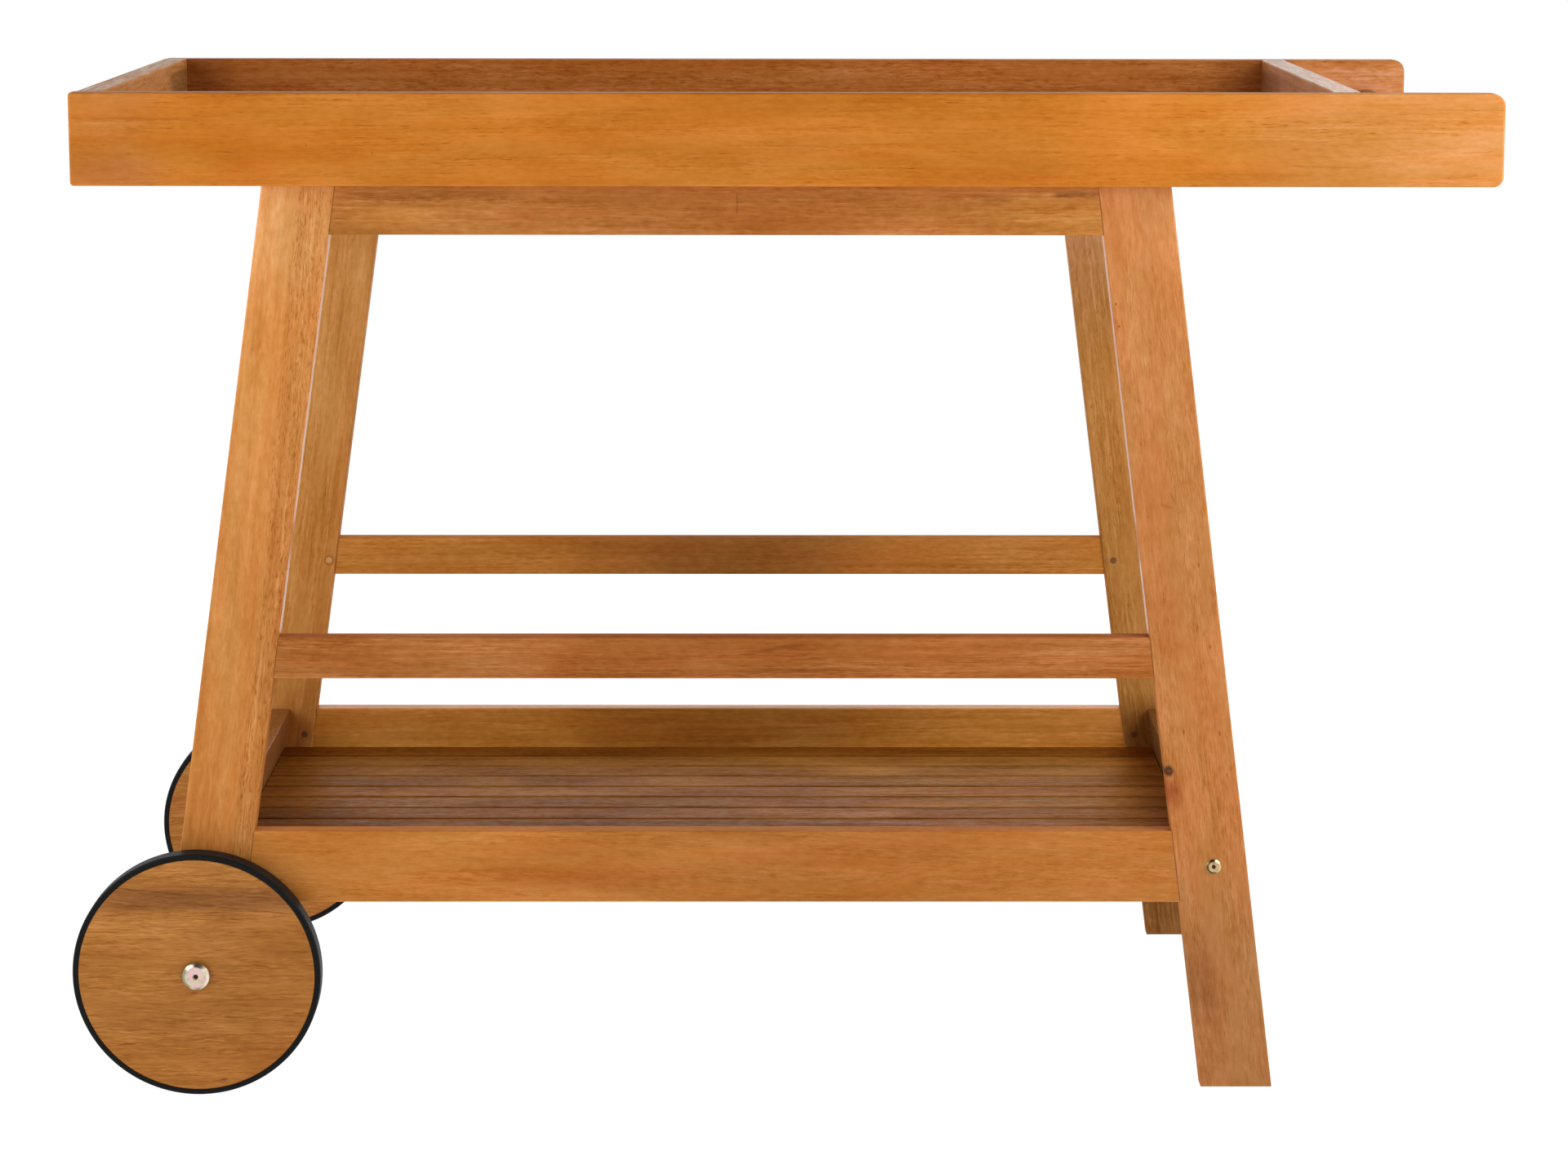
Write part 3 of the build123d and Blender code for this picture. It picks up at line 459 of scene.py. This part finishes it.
made_of("leg_front_right", "leg_right", 32, contrast=0.50, warm=(1.75, 3.6), ring=0.2, ring_mm=9.0, streak=0.55, streak_len=60.0,
        streak_mm=2.0, fibre=0.9, fibre_len=11.0, fibre_mm=0.9, mottle=0.75, mottle_len=14.0, mottle_mm=5.0, blotch=0.8,
        blotch_len=70.0, blotch_mm=26.0, wobble=0.9, wobble_len=24.0, pores=0.8, tint=(1.06, 0.95, 0.95), hue_len=90.0,
        hue_mm=26.0, dull_below=402.0,
        zones=(((None, None, 700), (None, None, 900), 50.0, 0.0, (1.05, 1.12, 1.25), 1.0),
               ((None, None, 400), (None, None, 640), 50.0, 0.0, (0.96, 0.99, 1.03), 1.0),
               ((None, None, -60), (None, None, 170), 60.0, 0.0, (0.84, 0.88, 0.94), 1.0),
               (at(324, 252), at(343, 280), 12.0, 8.0, (0.74, 0.54, 0.52), 0.95),
               (at(352, 60), at(376, 130), 30.0, 9.0, (0.80, 0.79, 0.80), 0.95),
               (at(366, 10), at(390, 50), 20.0, 9.0, deep(0.94, 1.3, 1.5), 0.8),
               (at(325, 500), at(345, 530), 14.0, 8.0, deep(0.94), 0.7),
               (at(345, 590), at(362, 610), 16.0, 8.0, deep(0.94), 0.7)),
        spots=((at(286, 687), 1.1, 1.0, (0.4, 0.32, 0.28), 0.9), (at(289, 668), 1.1, 1.0, (0.4, 0.32, 0.28), 0.9),
               (at(360, 463), 2.4, 0.9, deep(0.62), 0.9), (at(371, 392), 2.2, 0.9, deep(0.62), 0.9),
               (at(350, 317), 2.4, 0.9, deep(0.6), 0.9), (at(381, 316), 2.4, 0.9, deep(0.6), 0.9),
               (at(337.5, 283), 5.4, 4.6, (0.16, 0.16, 0.2), 1.0), (at(338, 283), 1.8, 1.5, (2.6, 2.4, 2.0), 0.9)),
        lines=((at(369, 268), at(368, 282), 1.2, DEEP, 0.9), (at(350, 254), at(349, 266), 0.9, DEEP, 0.8),
               (at(381, 248), at(380, 262), 1.0, DEEP, 0.9), (at(385, 199), at(390, 100), 0.6, deep(0.86), 0.7),
               (at(377, 186), at(378, 165), 0.8, deep(0.84), 0.7),
               (at(384, 122), at(396, 36), 1.6, deep(0.88), 0.7), (at(396, 122), at(404, 60), 1.2, deep(0.88), 0.6),
               (at(358, 119), at(369, 43), 1.8, deep(0.88), 0.6), (at(300, 620), at(318, 640), 1.4, deep(0.94), 0.6),
               (at(325, 516), at(338, 512), 1.0, DEEP, 0.8), (at(333, 528), at(341, 514), 1.0, DEEP, 0.7)))
made_of("leg_back_left", "leg_left", 33, contrast=0.54, warm=(1.5, 2.9), ring=0.7, streak=1.0, flecks=0.5, tint=(1.0, 1.06, 1.1),
        edge_rough=0.7, spec=0.08, zones=(((None, None, 500), (None, None, 900), 60.0, 0.0, (1.0, 1.08, 1.2), 1.0),
               ((None, None, -60), (None, None, 300), 40.0, 0.0, (0.9, 0.86, 0.8), 1.0),),
        spots=((at(-436, 378), 5.4, 5.4, (0.5, 0.42, 0.36), 0.9),))
made_of("leg_back_right", "leg_right", 34, contrast=0.64, warm=(1.5, 2.9), ring=0.9, streak=1.2, streak_len=120.0, wobble=1.3,
        flecks=0.7, pores=0.6, tint=(0.98, 1.05, 1.05), edge_rough=0.7, spec=0.08,
        # painted shade on the front face: darker at the foot and at the shelf's level
        zones=(((None, None, -60), (None, None, 110), 30.0, 0.0, (0.50, 0.46, 0.46), 1.0, 1.0),
               ((None, None, 170), (None, None, 232), 16.0, 0.0, (0.6, 0.56, 0.5), 1.0, 1.0),
               ((None, None, 300), (None, None, 470), 60.0, 0.0, (0.93, 0.92, 0.86), 1.0),
               ((None, None, 640), (None, None, 900), 60.0, 0.0, (1.12, 1.24, 1.9), 1.0)),
        lines=tuple((at(x, 72), at(x + 9, 2), hw, deep(0.66, 1.2, 1.5), 0.9)
                    for x, hw in ((369, 0.8), (374, 0.6), (378, 1.1), (383, 0.7), (388, 0.9), (392, 0.7))))
made_of("apron_front", "x", 41, contrast=0.64, warm=(1.6, 4.0), streak_len=80.0, streak_mm=2.2, mottle=0.75, blotch=1.1,
        # painted shade: the zone from -170 to 90 makes the middle darker
        zones=(across(-170, 90) + (60.0, 0.0, (0.9, 0.85, 0.8), 1.0), across(180, 500) + (60.0, 0.0, (1.06, 1.19, 1.45), 1.0),
               across(-430, -250) + (50.0, 0.0, (0.93, 0.99, 1.02), 1.0),
               (at(-352, 752), at(-290, 768), 25.0, 5.0, (1.12, 1.18, 1.15), 0.9),
               (at(205, 750), at(268, 775), 25.0, 6.0, (1.1, 1.14, 1.1), 0.9),
               # painted shadow: a dark band along the top, under the overhanging tray rail
               (at(-700, 780), at(700, 800), 0.0, 3.0, (0.76, 0.68, 0.58), 0.8)),
        spots=((at(131, 749), 2.0, 1.2, DEEP, 0.8), (at(100, 770), 2.0, 1.2, DEEP, 0.7)),
        lines=((at(-380, 778), at(-200, 778), 4.5, (0.78, 0.7, 0.6), 0.9), (at(130, 778), at(205, 776), 3.5, DEEP, 0.85),
               (at(228, 780), at(275, 779), 3.0, (0.5, 0.42, 0.36), 0.85), (at(-34.2, 760), at(-34.2, 782), 0.5, (0.5, 0.42, 0.36), 0.95),
               (at(273, 790), at(279, 741), 0.9, (0.35, 0.28, 0.22), 0.95), (at(-240, 764), at(-120, 761), 3.5, (0.95, 0.8, 0.7), 0.8),
               (at(-377, 787), at(-383, 745), 0.8, (0.45, 0.38, 0.3), 0.9)))
made_of("apron_back", "x", 42, **DARK)
made_of("guard_rail_front", "x", 43, **dict(DARK, contrast=0.76, warm=(1.6, 3.3), mottle=0.5, streak_mm=1.4, streak_len=60.0, edge_rough=0.75, spec=0.08),
        # painted shade: the zone from -230 to 70 makes the middle darker
        zones=(across(-700, -230) + (40.0, 0.0, (1.09, 1.22, 1.6), 1.0), across(100, 500) + (60.0, 0.0, (0.97, 0.97, 1.0), 1.0), across(-230, 70) + (60.0, 0.0, (0.86, 0.82, 0.76), 1.0),
               # painted shade: the top face is darkened, under the tray
               (at(-700, 398.4), at(700, 405), 0.0, 0.8, (0.42, 0.36, 0.4), 0.95)),
        lines=((at(-424, 390), at(-340, 373), 1.6, deep(0.86), 0.8), (at(-410, 396), at(-310, 374), 1.2, deep(0.88), 0.7),
               (at(-400, 380), at(-330, 369), 1.4, (1.15, 1.15, 1.12), 0.8), (at(-380, 388), at(-300, 378), 1.2, (1.12, 1.12, 1.1), 0.7),
               (at(-36, 384), at(28, 395), 2.0, DEEP, 0.85), (at(-50, 371), at(110, 371), 2.2, DEEP, 0.7),
               (at(-180, 380), at(-60, 383), 2.0, deep(0.84), 0.7),
               (at(313, 402), at(321, 400), 0.8, (0.4, 0.28, 0.34), 0.9), (at(320.5, 402), at(322.5, 374), 0.5, (0.5, 0.4, 0.4), 0.8)))
made_of("guard_rail_back", "x", 44, **dict(DARK, contrast=0.50, flecks=0.25, mottle=0.9, edge_rough=0.7, spec=0.08),
        # painted shade: the zone from -160 to 60 makes the middle darker
        zones=(across(-700, -160) + (40.0, 0.0, (1.05, 1.15, 1.45), 1.0), across(-160, 700) + (40.0, 0.0, (1.01, 1.06, 1.35), 1.0), across(-160, 60) + (70.0, 0.0, (0.62, 0.62, 0.62), 1.0)),
        lines=((at(30, 373), at(285, 374), 3.0, deep(0.84), 0.8), (at(-300, 390), at(-120, 392), 1.5, deep(0.9), 0.6)))
made_of("shelf_rail_front", "x", 45, contrast=0.52, warm=(1.7, 4.2), tilt=0.03, taper=0.05, ring=0.35, ring_mm=7.0,
        streak=0.6, streak_len=45.0, streak_mm=1.8, fibre_len=9.0, blotch=0.8, blotch_mm=24.0, mottle=0.6, edge_rough=0.6, spec=0.12,
        zones=(across(-600, -220) + (80.0, 0.0, (1.10, 1.12, 1.10), 1.0), across(-700, 700) + (10.0, 0.0, (0.97, 0.97, 1.0), 1.0),
               # painted shade: slightly darker in the middle
               across(-60, 180) + (70.0, 0.0, (0.93, 0.93, 0.95), 1.0),
               (at(-240, 176), at(-60, 196), 60.0, 8.0, (0.9, 0.84, 0.8), 0.8), (at(60, 172), at(140, 205), 50.0, 10.0, (1.08, 0.98, 0.9), 0.8)),
        spots=((at(-246, 219), 2.6, 1.4, DEEP, 0.6),),
        lines=((at(-180, 178), at(-40, 196), 2.2, deep(0.92), 0.7), (at(20, 176), at(130, 200), 2.0, deep(0.92), 0.7),
               (at(60, 172), at(180, 204), 1.6, (1.12, 1.1, 1.05), 0.7)))
made_of("shelf_rail_back", "x", 46, **dict(DARK, contrast=0.54, warm=(1.6, 4.2), flecks=0.2, pores=0.4, blotch=1.3),
        # painted shade: the first zone makes the middle of the inner face darker
        zones=(across(-150, 110) + (110.0, 0.0, (0.66, 0.66, 0.62), 1.0, 1.0),
               across(110, 500) + (60.0, 0.0, (1.15, 1.2, 1.35), 1.0),
               # painted shade: a dark band on the inner face below the slats' level
               (at(-700, 150), at(700, 192), 0.0, 4.0, (0.46, 0.33, 0.19), 0.95, 1.0)))
made_of("shelf_end_left", "end_left", 51)
made_of("shelf_end_right", "end_right", 52)
# each slat's tone, front to back; the last, rear-most one is darkened as painted shade from the shelf's back rail
SLAT_TONE = ((0.84, 0.86, 0.7), (0.86, 0.86, 0.78), (1.0, 0.98, 0.9), (0.82, 0.72, 0.56), (0.95, 0.88, 0.74), (0.95, 0.91, 0.85),
             (1.05, 1.0, 0.95), (0.96, 0.97, 0.95), (1.0, 1.0, 0.9), (1.08, 1.14, 1.02), (0.80, 0.71, 0.47))
# painted sheen: paler, greyer stretches standing in for the reflected backdrop, and a dark stretch at the front left
SLAT_SHEEN_AND_DARK = {
    4: (((-480, None, None), (-330, None, None), 30.0, 0.0, (0.62, 0.57, 0.52), 0.9),),
    5: (((-480, None, None), (-380, None, None), 30.0, 0.0, (0.66, 0.6, 0.56), 0.9),
        ((-20, None, None), (110, None, None), 25.0, 0.0, (1.35, 1.5, 1.9), 0.8)),
    6: (((60, None, None), (160, None, None), 30.0, 0.0, (1.3, 1.4, 1.6), 0.7),),
    8: (((-290, None, None), (-240, None, None), 20.0, 0.0, (1.4, 1.55, 1.9), 0.8),
        ((-120, None, None), (-50, None, None), 30.0, 0.0, (1.3, 1.4, 1.6), 0.7)),
    9: (((40, None, None), (120, None, None), 30.0, 0.0, (1.25, 1.35, 1.6), 0.7),),
}
for i in range(1, 12):
    x0 = -420 + (i * 37) % 260
    made_of(f"shelf_slat_{i:02d}", "x_flat", 60 + i, "shelf_slat", **dict(DARK, contrast=0.7, warm=(1.3, 1.9), flecks=0.3, blotch=1.6), spec=0.06,
            rough=0.46, rough_var=0.45, edge_rough=0.8, wear=0.0,
            zones=(((-700, None, None), (700, None, None), 10.0, 0.0, SLAT_TONE[i - 1], 1.0),
                   ((x0, None, None), (x0 + 150, None, None), 60.0, 0.0, (0.84, 0.8, 0.78), 0.8),
                   ((x0 + 330, None, None), (x0 + 430, None, None), 50.0, 0.0, (1.1, 1.08, 1.05), 0.8),
                   ((-560, None, None), (-390, None, None), 50.0, 0.0, (0.78, 0.74, 0.56), 0.9),
                   ((330, None, None), (460, None, None), 25.0, 0.0, (0.8, 0.74, 0.62), 0.8)) + SLAT_SHEEN_AND_DARK.get(i, ()))
made_of("shelf_ledger_left", "y_flat", 81, "batten")
made_of("shelf_ledger_right", "y_flat", 82, "batten")
made_of("shelf_batten_middle", "y_flat", 83, "batten")
DISC = dict(contrast=0.68, warm=(1.4, 2.6), ring=0.6, ring_mm=3.0, streak=1.1, streak_len=34.0, streak_mm=1.6, fibre=1.2,
            fibre_len=11.0, fibre_mm=0.8, wobble=1.0, wobble_len=20.0, mottle=0.6, mottle_len=14.0, mottle_mm=2.8, pores=1.0,
            pore_len=9.0, patchy=(0.6, 1.35), tint=(1.0, 1.03, 0.95), tint_amount=0.8, hue_len=80.0, hue_mm=12.0, blotch=1.0)
made_of("wheel_disc_front", "x", 91, "disc", **DISC,
        zones=((at(-590, 164), at(-400, 184), 30.0, 6.0, (0.66, 0.62, 0.72), 0.95),
               (at(-620, 80), at(-510, 150), 25.0, 15.0, (1.08, 1.1, 1.08), 0.9), (at(-470, 0), at(-380, 150), 25.0, 15.0, (0.91, 0.86, 0.72), 1.0),
               (at(-620, -10), at(-380, 50), 30.0, 12.0, (0.96, 0.89, 0.73), 1.0),
               (at(-590, 60), at(-500, 84), 25.0, 6.0, (0.93, 0.9, 0.84), 0.7)),
        spots=((at(-479, 14), 3.0, 1.3, deep(0.6, 1.3, 1.8), 0.95), (at(-442, 131), 9.0, 3.5, (0.92, 0.88, 0.82), 0.8),
               (at(-481, 39), 4.0, 2.0, (0.84, 0.76, 0.66), 0.8)),
        lines=((at(-586, 186), at(-500, 178), 0.9, deep(0.6, 1.3, 1.8), 0.8), (at(-520, 172), at(-405, 160), 0.9, deep(0.66, 1.3, 1.8), 0.7),
               (at(-560, 180), at(-430, 176), 0.8, deep(0.62, 1.3, 1.8), 0.75), (at(-540, 186), at(-440, 184), 0.8, deep(0.7, 1.3, 1.8), 0.7),
               (at(-572, 79), at(-480, 72), 0.9, deep(0.74, 1.3, 1.8), 0.75), (at(-500, 72), at(-397, 64), 0.8, deep(0.7, 1.3, 1.8), 0.8),
               (at(-585, 117), at(-545, 111), 1.3, deep(0.86, 1.3, 1.8), 0.7),
               (at(-500, 165), at(-420, 161), 0.6, (1.35, 1.4, 1.6), 0.8), (at(-470, 172), at(-410, 168), 0.5, (1.3, 1.4, 1.5), 0.7)))
made_of("wheel_disc_back", "x", 92, "disc", **DISC)
made_of("joint_pegs", "x", 93, "peg", end_k=1.0, mottle=0.8, contrast=0.3,
        # painted light and shade: the pegs are paler on the left back leg and darker low on the right back leg
        zones=((at(-470, 350), at(-400, 400), 1.0, 1.0, (3.3, 3.8, 3.6), 1.0),
               (at(300, 150), at(400, 300), 1.0, 1.0, (0.6, 0.6, 0.6), 1.0)))


def near(t, points, lo, hi):
    """1 within a few millimetres of any of the points (x, z), seen along Y."""
    px, _, pz = t.split(t.tc.outputs["Object"])
    best = None
    for (x, z) in points:
        dx, dz = t.m("SUBTRACT", px, x / 1000.0), t.m("SUBTRACT", pz, z / 1000.0)
        d = t.m("SQRT", t.m("ADD", t.m("MULTIPLY", dx, dx), t.m("MULTIPLY", dz, dz)))
        best = d if best is None else t.m("MINIMUM", best, d)
    return t.ramp(best, hi / 1000.0, lo / 1000.0), best


def metal(name, nodes, cols, rough, sockets=(), socket_r=2.8, ring=None):
    t = Tree(name)
    p = t.tc.outputs["Object"]
    n = t.noise(t.scaled(p, 0.004, 0.004, 0.004), detail=3.0)
    n2 = t.noise(t.scaled(p, 0.007, 0.007, 0.007, (3, 1, 7)), detail=2.0)
    col = t.mix(t.ramp(n2, 0.38, 0.62), rgb(*cols[0]), rgb(*cols[1]))
    col = t.mix(t.ramp(n, 0.45, 0.75, 0.0, 0.6), col, rgb(*cols[2]))
    r = t.m("MULTIPLY_ADD", n, 0.2, rough)
    if sockets:
        mask, d = near(t, sockets, socket_r, socket_r + 0.4)
        if ring:                             # painted reflection: the bevel is painted in dark and bright patches, standing in for the reflected room
            radius, width, dark_reflection, bright = ring
            bevel = t.ramp(t.m("ABSOLUTE", t.m("SUBTRACT", d, radius / 1000.0)), width / 1000.0, width / 2000.0)
            patch = t.ramp(t.noise(t.scaled(p, 0.012, 0.012, 0.012, (5, 2, 4)), detail=1.0), 0.42, 0.56)
            col = t.mix(bevel, col, t.mix(patch, rgb(*dark_reflection), rgb(*bright)))
        # painted shade: the sockets are painted dark inside
        col = t.mix(mask, col, rgb(62, 54, 22))
        r = t.m("MULTIPLY_ADD", mask, 0.3, r)
    t.put(t.bsdf.inputs["Base Color"], col)
    t.bsdf.inputs["Metallic"].default_value = 1.0
    t.put(t.bsdf.inputs["Roughness"], r)
    for node in nodes:
        dress(node, t.mat)


AXLE = (-501.0, 107.1)
# the last tuple of each bolt finish paints the bevel's dark and bright reflection
metal("axle_zinc", ["axle_bolt_front", "axle_bolt_back"], ((222, 186, 186), (214, 196, 168), (160, 152, 134)), 0.16, (AXLE,), 1.9,
      (10.6, 1.7, (150, 150, 124), (232, 220, 200)))
metal("shelf_bolt_zinc", ["shelf_bolts"], ((204, 190, 120), (206, 160, 140), (84, 84, 46)), 0.14,
      ((-488.7, 198.2), (378.1, 198.2)), 1.5, (5.4, 1.2, (84, 80, 40), (206, 198, 120)))
metal("zinc_finish", ["axle_washers", "axle_nuts", "barrel_nuts"], ((214, 200, 186), (206, 190, 160), (150, 144, 130)), 0.25)
metal("screw_finish", ["slat_screws", "frame_screws"], ((170, 160, 140), (160, 150, 132), (110, 104, 94)), 0.3)


def rubber(name, nodes, side, tread):
    """Black rubber: dark sidewalls, a painted shade line in the crease at the rim, and a duller, dusty tread."""
    t = Tree(name)
    n = t.noise(t.scaled(t.tc.outputs["Object"], 0.0022, 0.0022, 0.0022), detail=3.0)
    slow = t.noise(t.scaled(t.tc.outputs["Object"], 0.03, 0.03, 0.03), detail=2.0)
    _, d = near(t, (AXLE,), 1.0, 2.0)
    worn = t.ramp(d, 0.1056, 0.1069)
    dark, pale = rgb(*side), rgb(*tread)
    col = t.mix(worn, dark, pale)
    col = t.mix(t.ramp(n, 0.35, 0.7, 0.0, 0.35), col, t.mix(1.0, col, (1.7, 1.7, 1.7, 1.0), "MULTIPLY"))
    col = t.mix(t.ramp(slow, 0.45, 0.7, 0.0, 0.4), col, t.mix(1.0, col, (1.5, 1.5, 1.45, 1.0), "MULTIPLY"))
    # painted shade: a near-black line in the crease where the tyre meets the disc
    crease_shade = t.ramp(t.m("ABSOLUTE", t.m("SUBTRACT", d, 0.1024)), 0.0006, 0.0001)
    col = t.mix(crease_shade, col, rgb(6, 6, 6))
    t.put(t.bsdf.inputs["Base Color"], col)
    t.put(t.bsdf.inputs["Roughness"], t.m("MULTIPLY_ADD", n, 0.2, 0.42))
    t.bsdf.inputs["Specular IOR Level"].default_value = 0.12
    for node in nodes:
        dress(node, t.mat)


rubber("tyre_rubber_finish", ["tyre_front", "tyre_back"], (11, 11, 11), (27, 27, 28))


def plastic(name, nodes, col):
    t = Tree(name)
    n = t.noise(t.scaled(t.tc.outputs["Object"], 0.003, 0.003, 0.003), detail=2.0)
    t.put(t.bsdf.inputs["Base Color"], t.mix(n, rgb(*col), rgb(*[c * 0.88 for c in col])))
    t.put(t.bsdf.inputs["Roughness"], t.m("MULTIPLY_ADD", n, 0.2, 0.35))
    for node in nodes:
        dress(node, t.mat)


plastic("bush_finish", ["wheel_bush_front", "wheel_bush_back"], (204, 200, 190))


# ------------------------------------------------------------------ floor, world, lights
floor_mesh = bpy.data.meshes.new("floor")
S = 150.0
floor_mesh.from_pydata([(-S, -S, 0), (S, -S, 0), (S, S, 0), (-S, S, 0)], [], [(0, 1, 2, 3)])
floor = bpy.data.objects.new("floor", floor_mesh)
bpy.context.scene.collection.objects.link(floor)
t = Tree("pale_floor")
t.put(t.bsdf.inputs["Base Color"], (0.16, 0.16, 0.16, 1.0))
t.bsdf.inputs["Roughness"].default_value = 0.9
t.bsdf.inputs["Specular IOR Level"].default_value = 0.0
t.bsdf.inputs["Emission Color"].default_value = (1, 1, 1, 1)
t.bsdf.inputs["Emission Strength"].default_value = 1.0
floor.data.materials.append(t.mat)

# the room: bright near the horizon, dimmer overhead; reflections see the white backdrop
world = bpy.data.worlds.new("studio")
bpy.context.scene.world = world
world.use_nodes = True
wt = world.node_tree
bg = wt.nodes["Background"]
way = wt.nodes.new("ShaderNodeTexCoord")
parts = wt.nodes.new("ShaderNodeSeparateXYZ")
rays = wt.nodes.new("ShaderNodeLightPath")
wt.links.new(way.outputs["Generated"], parts.inputs[0])


def band(z0, z1, near_horizon, overhead):
    n = wt.nodes.new("ShaderNodeMapRange")
    n.interpolation_type = "SMOOTHSTEP"
    n.inputs["From Min"].default_value = z0
    n.inputs["From Max"].default_value = z1
    n.inputs["To Min"].default_value = near_horizon
    n.inputs["To Max"].default_value = overhead
    wt.links.new(parts.outputs[2], n.inputs["Value"])
    return n.outputs[0]


fill, backdrop = band(0.15, 0.65, 0.4, 0.0), band(0.45, 0.8, 1.0, 0.06)
pick = wt.nodes.new("ShaderNodeMix")
pick.data_type = "FLOAT"
wt.links.new(rays.outputs["Is Diffuse Ray"], pick.inputs[0])
wt.links.new(backdrop, pick.inputs[2])
wt.links.new(fill, pick.inputs[3])
wt.links.new(pick.outputs[0], bg.inputs["Strength"])
bg.inputs["Color"].default_value = (1, 1, 1, 1)


def softbox(name, around, up, dist, size, watts, shiny=True):
    """A square soft light aimed at the cart's middle, placed by its angles and distance."""
    a, e = math.radians(around), math.radians(up)
    loc = Vector((math.sin(a) * math.cos(e) * dist, -math.cos(a) * math.cos(e) * dist, 0.5 + math.sin(e) * dist))
    data = bpy.data.lights.new(name, "AREA")
    data.shape = "SQUARE"
    data.size, data.energy = size, watts
    ob = bpy.data.objects.new(name, data)
    d = Vector((0, 0, 0.5)) - loc
    ob.matrix_world = Matrix.Translation(loc) @ d.to_track_quat("-Z", "Y").to_matrix().to_4x4()
    ob.visible_camera = False
    ob.visible_glossy = shiny
    bpy.context.scene.collection.objects.link(ob)
    return ob


softbox("side_right_low", 60, 20, 1.6, 0.8, 7.2)
softbox("side_right_high", 60, 40, 1.6, 0.8, 4.0)
softbox("side_left_low", -60, 20, 1.6, 0.8, 5.4)
softbox("front_right", 40, 25, 1.6, 0.8, 2.7)
softbox("front_left", -45, 5, 2.6, 1.2, 7.0)
softbox("front_left_high", -45, 30, 2.6, 1.2, 0.8)
softbox("back_high", 180, 30, 2.6, 1.2, 17.0, shiny=False)
softbox("back_low", 180, 5, 2.6, 1.2, 35.0, shiny=False)

# ------------------------------------------------------------------ camera
yaw, pitch, roll = -0.0059827, 0.1762838, -0.0014761
cp, sp, cr, sr = math.cos(pitch), math.sin(pitch), math.cos(roll), math.sin(roll)
f0, d0, r0 = Vector((0, 1, 0)), Vector((0, 0, -1)), Vector((1, 0, 0))
f1 = f0 * cp + d0 * sp
d1 = d0 * cp - f0 * sp
turn = Matrix.Rotation(yaw, 3, "Z")
right = turn @ (r0 * cr + d1 * sr)
down = turn @ (d1 * cr - r0 * sr)
ahead = turn @ f1
cam_data = bpy.data.cameras.new("camera")
cam_data.sensor_fit = "HORIZONTAL"
cam_data.sensor_width = 36.0
cam_data.lens = 95.832
cam_data.clip_end = 500.0
cam = bpy.data.objects.new("camera", cam_data)
rot = Matrix((right, -down, -ahead)).transposed()
cam.matrix_world = Matrix.Translation((-0.0152537, -3.7814672, 1.0718497)) @ rot.to_4x4()
bpy.context.scene.collection.objects.link(cam)
bpy.context.scene.camera = cam
bpy.context.scene.view_settings.view_transform = "Standard"
bpy.context.scene.view_settings.look = "None"
